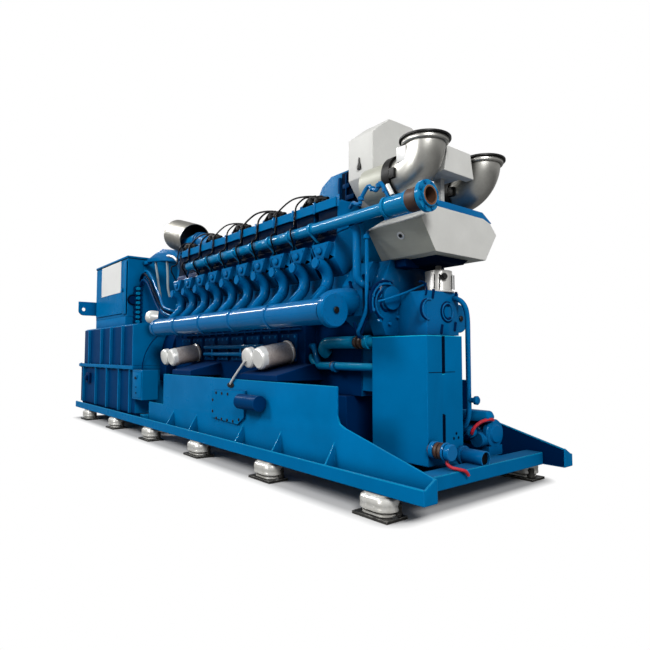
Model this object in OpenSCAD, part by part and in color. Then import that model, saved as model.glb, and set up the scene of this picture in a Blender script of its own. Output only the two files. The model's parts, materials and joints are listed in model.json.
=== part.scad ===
// Gas generator set: a twenty-cylinder V engine and its alternator on one welded base frame.
// Millimetres. X runs from the alternator to the free end of the engine, Y to the far side, Z up.
// The origin is the centre of the footprint, on the floor.

/* [Base frame] */
// Overall length of the base frame
frame_l = 6180; // [5900:10:6500]
// Width over the outer lips of the side rails
frame_w = 1470; // [1440:5:1520]
// Height of the frame's underside above the floor
frame_z = 125; // [110:1:160]
// Height of the outer lip of each side rail
lip_h = 80; // [60:1:100]
// Thickness of the frame's plates
plate_t = 16; // [12:1:20]
// Distance from the lip's face to the web's face
web_inset = 88; // [75:1:100]
// Height of the web above the frame's underside
web_h = 530; // [500:5:560]
// Distance of the front crossbeam from the end plates
beam_setback = 145; // [120:5:180]
// Height of the stiffening gussets
gusset_h = 200; // [160:5:240]

/* [Mounts] */
// Number of anti-vibration mounts on each side
mount_count = 6; // [5:1:7]
// Width of a mount's base plate
mount_plate_w = 155; // [150:1:165]
// Thickness of a mount's base plate
mount_plate_t = 16; // [12:1:20]
// Width of the bell of a mount
bell_w = 144; // [130:1:148]
// Distance between the two anchor holes of a mount
anchor_spacing = 222; // [218:1:228]
// Distance from an anchor hole's middle to the end of its plate
anchor_end = 17.5; // [14:0.5:30]
// Diameter of the anchor holes
anchor_d = 18; // [14:1:20]

/* [Alternator] */
// Length of the alternator
alt_l = 2125; // [2000:5:2200]
// Width of the alternator over its ribs
alt_w = 1400; // [1340:5:1420]
// Height of the alternator's upper edge above the floor
alt_h = 1166; // [1120:2:1200]
// Height of the joint flange above the floor
joint_z = 722; // [680:2:760]
// Length of the terminal box
box_l = 1285; // [1200:5:1340]
// Depth of the terminal box
box_w = 1020; // [900:5:1060]
// Height of the terminal box
box_h = 740; // [650:5:800]

/* [Engine] */
// Distance between neighbouring cylinders
pitch = 261; // [255:1:266]
// Number of cylinders in each bank
cylinders = 10; // [9:1:10]
// Length of the flywheel housing between the alternator and the crankcase
bell_housing_l = 280; // [260:1:300]
// Width of one cylinder head along the bank
head_l = 226; // [215:1:235]
// Half width of the crankcase
case_y = 340; // [320:2:360]
// Height of the crankcase's upper deck above the floor
deck_z = 1380; // [1360:2:1400]

/* [Manifolds] */
// Diameter of the mixture receiver
receiver_d = 164; // [150:1:180]
// Sideways position of the receiver's axis
receiver_y = 620; // [610:1:640]
// Height of the receiver's axis above the floor
receiver_z = 1115; // [1100:1:1130]
// Outer diameter of the coolant pipe along the heads
water_pipe_d = 76; // [70:1:84]
// Height of the coolant pipe's axis above the floor
water_pipe_z = 1702; // [1690:1:1715]
// Inner diameter of the coolant pipe
water_bore_d = 62; // [50:1:64]

/* [Exhaust] */
// Outer diameter of the exhaust elbows
elbow_d = 244; // [220:2:260]
// Wall thickness of the exhaust elbows
elbow_wall = 8; // [6:1:12]
// Bend radius of the exhaust elbows at the pipe's middle
elbow_bend = 172; // [165:1:190]
// Sideways position of the exhaust elbows
elbow_y = 286; // [280:1:300]
// Height of the exhaust flanges above the floor
outlet_z = 2123; // [2100:1:2150]

/* [Free end] */
// Length of the cooler housing
cooler_l = 446; // [400:2:460]
// Half width of the cooler housing at its widest line
cooler_y = 379; // [360:1:400]
// Height of the tank module above the frame
tank_h = 752; // [700:2:780]
// Length of the tank module
tank_l = 450; // [420:2:480]
// Width of the tank module
tank_w = 332; // [310:2:350]

/* [Hidden] */

$fn = 48;
eps = 0.01;
blue = "#0a66a4";
dark_blue = "#063f73";
steel = "#b9b8b2";
shield = "#dcdcd8";

half_l = frame_l / 2;
half_w = frame_w / 2;
rail_top = frame_z + lip_h;
floor_top = frame_z + plate_t;
web_y = half_w - web_inset;
web_top = frame_z + web_h;
inner_y = web_y - plate_t;

// Mounts: evenly spaced under each rail
mount_edge = 340;
mount_pitch = (frame_l - 2 * mount_edge - 190) / (mount_count - 1);
mount_x = [for (i = [0 : mount_count - 1]) half_l - mount_edge - i * mount_pitch];
mount_y = half_w - 45;
bell_l = bell_w + 50;

// Alternator
alt_x0 = -half_l;
alt_x1 = alt_x0 + alt_l;
rib_d = 30;
alt_y = alt_w / 2 - rib_d;
joint_t = 42;
shoulder_z = alt_h + 29;
shoulder_y = alt_y - 140;
pedestal_z = shoulder_z + 115;
box_x0 = alt_x0 + 60;
door_t = 14;

// Engine block
case_x0 = alt_x1 + bell_housing_l;
first_cyl = case_x0 + 310;
case_x1 = first_cyl + (cylinders - 1) * pitch + 155;
case_z0 = 560;
head_x = [for (i = [0 : cylinders - 1]) first_cyl + i * pitch];

// Heads and covers, in the plane across the engine (y outward, z up)
flank_y = 470;
skirt_y = 430;
head_top_z = 1600;
flank_z = 1494;
cover_z = 1660;
cover_top_z = 1900;
rail_y = 400;
rail_t = 14;
rail_z = 1846;
rail_h = 66;
pipe_y = 486;

// Free end
gear_x1 = case_x1 + 190;
nose_x1 = gear_x1 + 110;
gear_top = 1450;
tank_x0 = gear_x1 + 5;
tank_y0 = -322;
tank_top = rail_top + tank_h;
cooler_z0 = gear_top;
cooler_x1 = nose_x1 + 362;
cooler_x0 = cooler_x1 - cooler_l;
box_face = case_x1 + 168;
collector_l = 240;
inlet_x = box_face + 237;
elbow_z = outlet_z - 15 - elbow_bend;

// Extrudes a profile drawn as (y, z) points along X, from x0 over a length
module along_x(x0, length) {
    translate([x0, 0, 0]) rotate([90, 0, 90]) linear_extrude(height = length) children();
}

// Extrudes a profile drawn as (x, z) points along Y, from y0 over a width
module along_y(y0, width) {
    translate([0, y0 + width, 0]) rotate([90, 0, 0]) linear_extrude(height = width) children();
}

// A round bar along X
module bar_x(x0, y, z, length, d) {
    translate([x0, y, z]) rotate([0, 90, 0]) cylinder(h = length, d = d);
}

// A round bar along Y
module bar_y(x, y0, z, length, d) {
    translate([x, y0, z]) rotate([-90, 0, 0]) cylinder(h = length, d = d);
}

// A round pipe through points in space, with a ball in each bend
module pipe(points, d) {
    last = len(points) - 1;
    for (i = [0 : last - 1]) {
        v = points[i + 1] - points[i];
        translate(points[i])
            rotate([0, acos(v[2] / norm(v)), atan2(v[1], v[0])]) cylinder(h = norm(v), d = d);
    }
    for (i = [1 : 1 : last - 1])
        translate(points[i]) sphere(d = d * 1.06);
}

// A box from its lowest corner
module block(x, y, z, size) {
    translate([x, y, z]) cube(size);
}

// The part of the near side, or the same part mirrored to the far side
module side(far = false) {
    mirror([0, far ? 1 : 0, 0]) children();
}

// ---------------------------------------------------------------- base frame

gusset_x = [for (d = [3075, 2600, 1809, 1315, 756]) half_l - d];
web_notch_x = case_x0 + 65;
web_start_x = case_x0 + 435;
web_notch_z = 360;
web_end_x = half_l - 733;
taper_x = web_end_x + 75;
taper_z = frame_z + 290;
end_top_z = rail_top + 40;

// Web outline: notched beside the alternator and tapered towards the free end
module web_outline() {
    polygon([
        [web_notch_x, floor_top], [half_l - plate_t, floor_top], [half_l - plate_t, end_top_z],
        [taper_x, taper_z], [web_end_x + 22, taper_z + 22], [web_end_x, taper_z + 65],
        [web_end_x, web_top], [web_start_x, web_top], [web_start_x, web_notch_z],
        [web_notch_x, web_notch_z]
    ]);
}

// One side rail: open channel, web plate, gussets and end plate
module side_rail() {
    block(-half_l, -half_w, frame_z, [frame_l, web_inset + plate_t, plate_t]);
    block(-half_l, -half_w, floor_top, [frame_l, plate_t, lip_h - plate_t]);
    along_y(-web_y, plate_t) web_outline();
    for (x = gusset_x)
        along_x(x - plate_t / 2, plate_t)
            polygon([
                [-half_w + plate_t, floor_top], [-half_w + plate_t, rail_top],
                [-web_y, frame_z + gusset_h], [-web_y, floor_top]
            ]);
    along_x(half_l - plate_t, plate_t)
        polygon([
            [-half_w + plate_t, floor_top], [-half_w + plate_t, rail_top],
            [-web_y, end_top_z], [-inner_y, end_top_z], [-inner_y, floor_top]
        ]);
}

module near_side_rail() {
    color(blue) side_rail();
}

module far_side_rail() {
    color(blue) side(true) side_rail();
}

beam_w = 120;
beam_x = half_l - beam_setback - beam_w;
cross_x = [-half_l, alt_x1 + 60, half_l - 2390, half_l - 1190];

// Crossbeams between the two rails, and the sheet floor under the free end
module frame_crossmembers() {
    span = 2 * inner_y;
    color(blue) {
        block(beam_x, -inner_y, frame_z, [beam_w, span, lip_h]);
        for (x = cross_x)
            block(x, -inner_y, frame_z, [beam_w, span, lip_h]);
        block(cross_x[3] + beam_w, -inner_y, frame_z, [beam_x - cross_x[3] - beam_w, span, plate_t]);
    }
}

// ---------------------------------------------------------------- mounts

// Length of a mount's base plate, which reaches past its anchor holes
plate_l = anchor_spacing + 2 * anchor_end;

module mount_plates() {
    color("#6f6f6c")
        for (x = mount_x)
            for (s = [-1, 1])
                translate([x, s * mount_y, 0])
                    difference() {
                        translate([-plate_l / 2, -mount_plate_w / 2, 0])
                            cube([plate_l, mount_plate_w, mount_plate_t]);
                        for (t = [-1, 1])
                            translate([t * anchor_spacing / 2, 0, -1])
                                cylinder(h = mount_plate_t + 2, d = anchor_d);
                    }
}

// One bell: round-ended body with a stepped crown that carries the rail
module bell() {
    r = bell_w / 2;
    h = frame_z - mount_plate_t;
    translate([0, 0, mount_plate_t]) {
        round_ended(r, h * 0.72);
        translate([0, 0, h * 0.72]) round_ended(r - 14, h * 0.28);
    }
}

// An upright bar with round ends, as long as the bell
module round_ended(r, h) {
    d = bell_l / 2 - bell_w / 2;
    for (s = [-1, 1])
        translate([s * d, 0, 0]) cylinder(h = h, r = r);
    translate([-d, -r, 0]) cube([2 * d, 2 * r, h]);
}

module mount_bells() {
    color(steel)
        for (x = mount_x)
            for (s = [-1, 1])
                translate([x, s * mount_y, 0]) bell();
}

// ---------------------------------------------------------------- alternator

rib_t = 26;
upper_ribs = [0, 372, 785, 1161, 1689];
lower_ribs = [102, 467, 909, 1361, 1914];
upper_inset = 133;

// Upright cooling ribs on both sides, between two heights, measured from the drive end
module ribs(z0, z1, from_end) {
    for (d = from_end)
        for (s = [-1, 1])
            translate([alt_x1 - d - rib_t, s > 0 ? alt_y - eps : -alt_y - rib_d, z0])
                cube([rib_t, rib_d + eps, z1 - z0]);
}

module alternator_lower_housing() {
    color(blue) {
        block(alt_x0, -alt_y, rail_top, [alt_l, 2 * alt_y, joint_z - joint_t - rail_top]);
        ribs(rail_top, joint_z - joint_t, lower_ribs);
    }
}

module alternator_joint_flange() {
    y = alt_w / 2 + 5;
    color(blue)
        block(alt_x0, -y, joint_z - joint_t, [alt_l, 2 * y, joint_t]);
}

module alternator_upper_housing() {
    color(blue) {
        along_x(alt_x0 + upper_inset, alt_l - upper_inset)
            polygon([
                [-alt_y, joint_z], [-alt_y, alt_h], [-alt_y + 30, alt_h + 18],
                [-shoulder_y, shoulder_z], [shoulder_y, shoulder_z], [alt_y - 30, alt_h + 18],
                [alt_y, alt_h], [alt_y, joint_z]
            ]);
        block(box_x0 + 80, -shoulder_y, shoulder_z - eps,
            [box_l - 80, 2 * shoulder_y, pedestal_z - shoulder_z + eps]);
        ribs(joint_z, alt_h, upper_ribs);
    }
}

module terminal_box() {
    color(blue)
        block(box_x0, -box_w / 2, pedestal_z, [box_l, box_w, box_h]);
}

// Door panel on the near face, with its bare name plate and a handle
module terminal_box_door() {
    y = -box_w / 2 - door_t;
    color(blue) {
        block(box_x0 + 45, y, pedestal_z + 45, [box_l - 90, door_t, box_h - 90]);
        bar_y(box_x0 + box_l - 130, y - 18, pedestal_z + box_h * 0.45, 18, 46);
    }
    color("white")
        block(box_x0 + 290, y - 4, pedestal_z + box_h - 430, [box_l - 488, 4, 395]);
}

jbox_l = 290;
jbox_d = 170;

// Small cabinet on the alternator's drive end
module junction_box() {
    color(blue) {
        block(alt_x1, -alt_w / 2, 370, [jbox_l, jbox_d, 310]);
        bar_y(alt_x1 + 150, -alt_w / 2 - 14, 610, 14, 40);
    }
}

lug_x = box_x0 - 6;
lug_t = 30;
lug_z = 1385;
lug_reach = 236;

// Eye plates on both sides of the terminal box, at its outer end
module lifting_lugs() {
    color(blue)
        for (s = [0, 1])
            mirror([0, s, 0])
                translate([lug_x, -box_w / 2, lug_z]) rotate([90, 0, -90]) translate([0, 0, -lug_t])
                    difference() {
                        union() {
                            square_plate(lug_reach - 70, 190);
                            translate([lug_reach - 70, 70, 0]) cube([70, 120, lug_t]);
                            translate([lug_reach - 70, 70, 0]) cylinder(h = lug_t, r = 70);
                        }
                        translate([lug_reach - 66, 84, -1]) cylinder(h = lug_t + 2, d = 50);
                    }
}

// A flat plate lying in the local XY plane
module square_plate(w, h) {
    cube([w, h, lug_t]);
}

gland_z = [for (i = [0 : 7]) pedestal_z - 60 + i * 58];

seat = 0.3;
wall_seat = -350 - seat;
leads = [[[0, -160, 700], [50, -160, 695], [436, -300, 325], [1100, -408, 5], [1100, wall_seat, 5]],
    [[0, -60, 640], [50, -60, 635], [400, -250, 290], [1150, -408, -90], [1150, wall_seat, -90]]];

// Column of cable glands on the box's drive-end face, a round vent, and two leads to the engine
module cable_glands() {
    color("#15171c")
        for (lead = leads)
            pipe([for (p = lead) [box_x0 + box_l + p[0], p[1], pedestal_z + p[2]]], 30);
    color(dark_blue) {
        for (z = gland_z)
            bar_x(box_x0 + box_l, -box_w / 2 + 150, z, 46, 40);
        bar_x(box_x0 + box_l, -box_w / 2 + 62, pedestal_z + 200, 24, 104);
    }
}

// ---------------------------------------------------------------- engine block

module flywheel_housing() {
    color(dark_blue) {
        bar_x(alt_x1, 0, 860, case_x0 - alt_x1, 760);
        block(alt_x1 + 110, -440, 560, [case_x0 - alt_x1 - 110, 880, 330]);
    }
}

foot_x = [head_x[1] + 70, head_x[7] - 240];
foot_l = [400, 510];

step_x = head_x[7] + pitch - 73;

// Half of the crankcase's outline, from the foot of one wall to its share of the V deck
function case_half(y0, z0) = [
    [-y0, z0], [-y0, 1060], [-350, 1130], [-350, deck_z], [-200, 1470], [-150, 1440]
];

// Crankcase with its V deck, narrower low down at the free end, and the feet on the webs
module crankcase() {
    color(blue) {
        along_x(case_x0, step_x - case_x0)
            case_outline(case_half(case_y, case_z0));
        along_x(step_x - eps, case_x1 - step_x + eps)
            case_outline(case_half(230, case_z0));
        for (i = [0, 1])
            along_x(foot_x[i], foot_l[i])
                polygon([
                    [-web_y, web_top], [-web_y, web_top + 45], [-case_y, web_top + 120],
                    [case_y, web_top + 120], [web_y, web_top + 45], [web_y, web_top]
                ]);
    }
}

// The outline made whole by mirroring its half
module case_outline(half) {
    n = len(half) - 1;
    polygon(concat(half, [for (i = [0 : n]) [-half[n - i][0], half[n - i][1]]]));
}

// Oil sump under the crankcase
module oil_sump() {
    color(dark_blue)
        along_x(case_x0 + 80, case_x1 - case_x0 - 160)
            polygon([
                [-case_y + 40, case_z0], [-290, 290], [-220, rail_top], [220, rail_top],
                [290, 290], [case_y - 40, case_z0]
            ]);
}

// Inspection covers low on both sides of the crankcase, one for each cylinder
module crankcase_covers() {
    color(blue)
        for (x = [for (h = head_x) if (h + 98 < step_x) h])
            for (s = [-1, 1])
                translate([x - 98, s > 0 ? case_y : -case_y - 18, 790]) cube([196, 18, 210]);
}

// ---------------------------------------------------------------- cylinder heads

// One head: a sloped body on the V deck and the tapered flank that faces outwards
module head(x) {
    along_x(x - head_l / 2, head_l)
        polygon([
            [-350, deck_z], [-skirt_y, flank_z - 2], [-skirt_y, head_top_z],
            [-410, cover_z], [-165, 1775], [-150, 1560], [-200, 1470]
        ]);
    along_y(-flank_y, flank_y - skirt_y + eps)
        polygon([
            [x - 38, flank_z], [x - 95, head_top_z], [x + 95, head_top_z], [x + 38, flank_z]
        ]);
}

module cylinder_heads() {
    for (x = head_x)
        head(x);
}

module near_cylinder_heads() {
    color(blue) cylinder_heads();
}

module far_cylinder_heads() {
    color(blue) side(true) cylinder_heads();
}

// Rocker covers, one on each head
module rocker_covers() {
    for (x = head_x)
        along_x(x - head_l / 2 + 8, head_l - 16)
            polygon([
                [-410, cover_z], [-rail_y, cover_z + 60], [-rail_y, cover_top_z - 20],
                [-360, cover_top_z], [-230, cover_top_z], [-165, cover_top_z - 60], [-165, 1775]
            ]);
}

module near_rocker_covers() {
    color(blue) rocker_covers();
}

module far_rocker_covers() {
    color(blue) side(true) rocker_covers();
}

runner_d = 80;
runner_r = 100;
runner_y = 520;
runner_z = deck_z - 25;
runner_x = 27;

// One intake runner: from its flange under the head's flank, round a bulge, to the receiver
module runner(x) {
    drop = runner_r * sin(45);
    translate([x, -runner_y, runner_z]) {
        rotate([90, 0, 0]) rotate([0, 90, 0]) rotate([0, 0, -45]) bend_xy(135);
        translate([0, -17, runner_r]) rotate([-90, 0, 0]) cylinder(h = 22, d = 60);
        translate([-19, -10, runner_r + 30]) cube([38, 60, flank_z - runner_z - runner_r - 30]);
        translate([0, drop + 4, 4 - drop]) rotate([135, 0, 0]) cylinder(h = 206, d = runner_d - 6);
    }
}

// The curved part of a runner, lying flat
module bend_xy(angle) {
    rotate_extrude(angle = angle) translate([runner_r, 0]) circle(d = runner_d);
}

module intake_runners() {
    difference() {
        for (x = head_x)
            runner(x + runner_x);
        bar_x(receiver_x0 - 10, -receiver_y, receiver_z, receiver_l + 60, receiver_d);
    }
}

module near_intake_runners() {
    color(blue) intake_runners();
}

module far_intake_runners() {
    color(blue) side(true) intake_runners();
}

receiver_x0 = first_cyl - 100;
receiver_l = head_x[cylinders - 1] + 290 - receiver_x0;
band_w = 26;
riser_x = receiver_x0 + receiver_l - 95;

// Mixture receiver with clamp bands, end cap, end disc and the riser from the mixer
module receiver() {
    bar_x(receiver_x0, -receiver_y, receiver_z, receiver_l, receiver_d);
    for (i = [0 : 3])
        bar_x(receiver_x0 + 520 + i * 2 * pitch, -receiver_y, receiver_z, band_w, receiver_d + 14);
    bar_x(receiver_x0 - 60, -receiver_y, receiver_z, 60, receiver_d - 40);
    bar_x(receiver_x0 + receiver_l, -receiver_y, receiver_z, 50, 190);
    bar_x(receiver_x0 + receiver_l + 50, -receiver_y, receiver_z, 14, 60);
    translate([riser_x, -receiver_y, receiver_z]) rotate([-38, 0, 0]) cylinder(h = 330, d = 150);
}

module near_receiver() {
    color(blue) receiver();
}

module far_receiver() {
    color(blue) side(true) receiver();
}

pipe_x0 = first_cyl + 315;
pipe_x1 = half_l - 280;
coupling_l = 76;
flange_l = 60;

far_pipe_x1 = case_x1 + 40;
thick_l = 190;

// Coolant pipe along the heads with its outlet stubs, bored from the open end
module coolant_pipe(x1) {
    difference() {
        union() {
            bar_x(pipe_x0, -pipe_y, water_pipe_z, x1 - pipe_x0, water_pipe_d);
            bar_x(x1 - thick_l, -pipe_y, water_pipe_z, thick_l, 116);
            for (i = [2 : cylinders - 1])
                bar_y(head_x[i] - 60, -pipe_y, water_pipe_z, pipe_y - rail_y, 40);
        }
        bar_x(pipe_x0 + 100, -pipe_y, water_pipe_z, x1 - pipe_x0, water_bore_d);
    }
}

module near_coolant_pipe() {
    color(blue) {
        coolant_pipe(pipe_x1);
        translate([pipe_x1 + coupling_l, -pipe_y, water_pipe_z]) rotate([0, 90, 0])
            difference() {
                union() {
                    cylinder(h = flange_l, d = 118);
                    translate([0, 0, 22]) cylinder(h = 24, d = 176);
                }
                translate([0, 0, -1]) cylinder(h = flange_l + 2, d = 90);
            }
    }
    color("#5b3a22")
        translate([pipe_x1, -pipe_y, water_pipe_z]) rotate([0, 90, 0])
            difference() {
                cylinder(h = coupling_l, d = 132);
                translate([0, 0, -1]) cylinder(h = coupling_l + 2, d = 90);
            }
}

module far_coolant_pipe() {
    color(blue)
        side(true) coolant_pipe(far_pipe_x1);
}

coil_rail_x0 = first_cyl - 20;
coil_rail_l = head_x[cylinders - 1] + 100 - coil_rail_x0;

// Flat cable duct on the outside of the rocker covers
module coil_rail() {
    block(coil_rail_x0, -rail_y - rail_t, rail_z, [coil_rail_l, rail_t, rail_h]);
}

module near_coil_rail() {
    color(blue) coil_rail();
}

module far_coil_rail() {
    color(blue) side(true) coil_rail();
}

// Ignition coil boxes on every second head of both banks, each with a domed cap beside it
module coil_packs() {
    for (i = [0 : 2 : cylinders - 2])
        for (s = [-1, 1]) {
            color("#15171c")
                translate([head_x[i] + 30, s * 310 - 40, cover_top_z]) cube([120, 80, 105]);
            color(blue)
                translate([head_x[i] - 130, s * 310 - 45, cover_top_z]) cube([110, 90, 60]);
        }
}

// ---------------------------------------------------------------- exhaust and free end

hump_x0 = box_face - 757;
hump_z1 = 2205;

// Blue cover over the exhaust manifold ahead of the collector box
module exhaust_cover() {
    color(blue)
        along_y(-150, 300)
            polygon([
                [case_x0 + 300, 1440], [case_x0 + 300, 1640], [hump_x0, 1640],
                [hump_x0, 2060], [hump_x0 + 60, 2150], [hump_x0 + 170, hump_z1],
                [box_face - collector_l, hump_z1], [box_face - collector_l, 1440]
            ]);
}

collector_top = 2459;
eave_z = 2330;

// Insulated collector box: an octagonal housing across the set
module exhaust_box() {
    x0 = box_face - collector_l;
    color(shield)
        along_x(x0, collector_l)
            polygon([
                [-281, 2045], [-281, eave_z], [-116, collector_top], [116, collector_top],
                [281, eave_z], [281, 2045], [150, 1872], [-150, 1872]
            ]);
}

elbow_r = elbow_d / 2;
flange_t = 10;

bore_r = elbow_r - elbow_wall;
bend_x = inlet_x + 40;
elbow_x = bend_x + elbow_bend;

// A length of tube with the elbow's bore
module tube(h, r) {
    difference() {
        cylinder(h = h, r = r);
        translate([0, 0, -1]) cylinder(h = h + 2, r = bore_r);
    }
}

// One exhaust elbow: straight inlet with its ring, quarter bend and outlet flange
module exhaust_elbow() {
    translate([box_face, 0, elbow_z]) rotate([0, 90, 0]) tube(inlet_x - 20 - box_face, elbow_r);
    translate([inlet_x - 20, 0, elbow_z]) rotate([0, 90, 0]) tube(60, elbow_r + 17);
    translate([bend_x, 0, elbow_z + elbow_bend]) rotate([90, 0, 0]) rotate([0, 0, -90])
        rotate_extrude(angle = 90) translate([elbow_bend, 0])
            difference() {
                circle(r = elbow_r);
                circle(r = bore_r);
            }
    translate([elbow_x, 0, elbow_z + elbow_bend])
        tube(outlet_z - flange_t - elbow_z - elbow_bend, elbow_r);
    translate([elbow_x, 0, outlet_z - flange_t]) tube(flange_t, elbow_r + 32);
}

module exhaust_elbows() {
    color(steel)
        for (s = [-1, 1])
            translate([0, s * elbow_y, 0]) exhaust_elbow();
}

shield_x1 = elbow_x + 34;

// Heat shield box between the elbows, on its post
module heat_shield() {
    color(shield) {
        along_x(shield_x1 - 60, 60)
            polygon([[-150, 1962], [-118, 2122], [118, 2122], [150, 1962]]);
        along_x(shield_x1 - 210, 150 + eps)
            polygon([[-112, 1975], [-100, 2110], [100, 2110], [112, 1975]]);
        block(shield_x1 - 190, -18, cooler_z1 + strip_t, [60, 36, 1975 - cooler_z1 - strip_t + eps]);
    }
}

cooler_z1 = 1721;
strip_t = 46;

// Six-sided cooler housing with its blue top plate
module cooler_housing() {
    color(shield)
        along_x(cooler_x0, cooler_l)
            polygon([
                [-251, cooler_z0], [-cooler_y, 1633], [-233, cooler_z1], [233, cooler_z1],
                [310, 1700], [cooler_y, 1633], [251, cooler_z0]
            ]);
    color(blue)
        along_x(cooler_x0, cooler_l - 12)
            polygon([
                [-225, cooler_z1], [-225, cooler_z1 + strip_t], [243, cooler_z1 + strip_t],
                [345, cooler_z1 - 12], [310, 1700], [233, cooler_z1]
            ]);
}

// Gear case at the free end, with a nose above the tank module and the bracket of the cooler
module gear_case() {
    color(blue) {
        along_x(case_x1, gear_x1 - case_x1)
            polygon([
                [-220, 600], [-220, 970], [-400, 1090], [-400, 1300], [-300, gear_top],
                [300, gear_top], [400, 1300], [400, 1090], [400, 970], [400, 600]
            ]);
        along_x(gear_x1 - eps, nose_x1 - gear_x1 + eps)
            polygon([
                [-300, tank_top + 8], [-345, 1060], [-345, 1240], [-250, gear_top],
                [250, gear_top], [345, 1240], [345, 1060], [300, tank_top + 8]
            ]);
        block(nose_x1 - eps, -190, tank_top + 8, [240, 310, 1238 - tank_top - 8]);
        along_x(nose_x1 - eps, 290)
            polygon([[-110, 1416], [-160, gear_top], [160, gear_top], [110, 1416]]);
    }
}

// Round bolted covers on the gear case
module gear_case_covers() {
    color(blue) {
        bar_x(nose_x1, -268, 1200, 30, 150);
        bar_x(nose_x1 + 240, 60, 1130, 24, 110);
        bar_x(nose_x1 + 240, -110, 1120, 24, 110);
        bar_x(nose_x1, 268, 1160, 30, 140);
    }
}

mixer_x = nose_x1 + 162;
mixer_y = 19;

// Gas mixer under the cooler's bracket, with its neck and the actuator's stub
module gas_mixer() {
    color(steel) {
        translate([mixer_x, mixer_y, 1238]) cylinder(h = 10, d = 196);
        translate([mixer_x, mixer_y, 1248]) cylinder(h = 130, d = 172);
        translate([mixer_x, mixer_y, 1378]) cylinder(h = 14, d = 70);
        translate([mixer_x, mixer_y, 1392]) cylinder(h = 24, d = 40);
    }
}

// Tall tank module with the upright slots in its front face
module tank_module() {
    slot_y = tank_y0 + 146;
    color(blue)
        difference() {
            block(tank_x0, tank_y0, rail_top, [tank_l, tank_w, tank_h]);
            block(tank_x0 + tank_l - 30, slot_y - 9, 730, [40, 18, tank_top - 740]);
            block(tank_x0 + tank_l - 30, slot_y - 9, rail_top + 113, [40, 18, 176]);
        }
}

tank_x1 = tank_x0 + tank_l;
fit_y = tank_y0 + 25;
fit_z = rail_top + 80;
fit_x = tank_x1 + 64;
stub_y = tank_y0 + tank_w - 20;
stub_z = rail_top + 38;
stub_d = 72;
stub_bore_d = 56;
pump_z = rail_top + 150;

// Pipe connections on the tank module's front face
module tank_connections() {
    color(blue) {
        bar_x(tank_x1, fit_y, fit_z, fit_x - tank_x1, 110);
        bar_x(fit_x + 60, fit_y, fit_z, 50, 98);
        difference() {
            union() {
                bar_x(tank_x1, stub_y, stub_z, 170, stub_d);
                bar_x(tank_x1, stub_y, stub_z, 22, 88);
            }
            bar_x(tank_x1 + 40, stub_y, stub_z, 131, stub_bore_d);
        }
        difference() {
            pipe([[tank_x1 - 160, 100, pump_z], [tank_x1 - 70, 100, pump_z + 40],
                [tank_x1 - 24, 100, pump_z + 120], [tank_x1 - 24, 100, 1110],
                [nose_x1 + 280, 70, 1195], [nose_x1 + 200, 70, 1200]], 22);
            bar_y(tank_x1 - 160, 10, pump_z, 250, 64 + 2 * seat);
            block(nose_x1, -190, tank_top, [240 + seat, 310, 400]);
        }
    }
    color("#5b3a22") bar_x(fit_x, fit_y, fit_z, 60, 120);
}

// Circulation pump and its motor beside the tank
module pump_set() {
    color(blue) {
        bar_x(tank_x1 - 330, 310, rail_top + 150, 300, 190);
        bar_x(tank_x1 - 30, 310, rail_top + 150, 60, 232);
        bar_x(tank_x1 + 30, 310, rail_top + 150, 50, 130);
        block(tank_x1 - 280, 250, rail_top, [200, 120, 70]);
        block(tank_x1 - 230, 230, rail_top + 235, [140, 160, 70]);
        bar_y(tank_x1 - 160, tank_y0 + tank_w, pump_z, 250, 64);
    }
}

filter_x = [head_x[1] + 12, head_x[7] + 12];
filter_z = 862;
filter_l = 302;
filter_d = 142;
filter_tilt = 10.7;

// Silver oil filters: each leans out from the crankcase, with a round cap on a short neck
module oil_filters() {
    color(steel)
        for (x = filter_x)
            difference() {
                translate([x, -case_y, filter_z + 3]) rotate([90 + filter_tilt, 0, 0]) {
                    cylinder(h = filter_l + 18, d = filter_d);
                    cylinder(h = filter_l + 64, d = 78);
                    translate([0, 0, filter_l + 58]) cylinder(h = 42, d = 126);
                }
                block(x - 100, -case_y - 18 - seat, filter_z - 150, [200, 200, 300]);
            }
}

feed_y = -283;
feed_z = 930;
drain_z = 757;

riser_y = -421;

// The vent pipe from the coolant pipe, and the thin line from the cooler to the feed pipe
module riser_pipes() {
    x = gear_x1 - 17;
    difference() {
        pipe([[x, -470, 1670], [x, riser_y, 1620], [x, riser_y, 1240]], 42 - 2 * seat);
        bar_x(pipe_x0, -pipe_y, water_pipe_z, pipe_x1 - pipe_x0, 116 + 2 * seat);
    }
    pipe([[gear_x1 + 53, -328.1, 1559.6], [gear_x1 + 53, -377.2, 1525.2],
        [gear_x1 + 66, riser_y, 1440], [gear_x1 + 66, riser_y, 1100],
        [gear_x1 - 32, riser_y, 978], [gear_x1 - 32, -300, feed_z]], 22);
}

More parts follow.
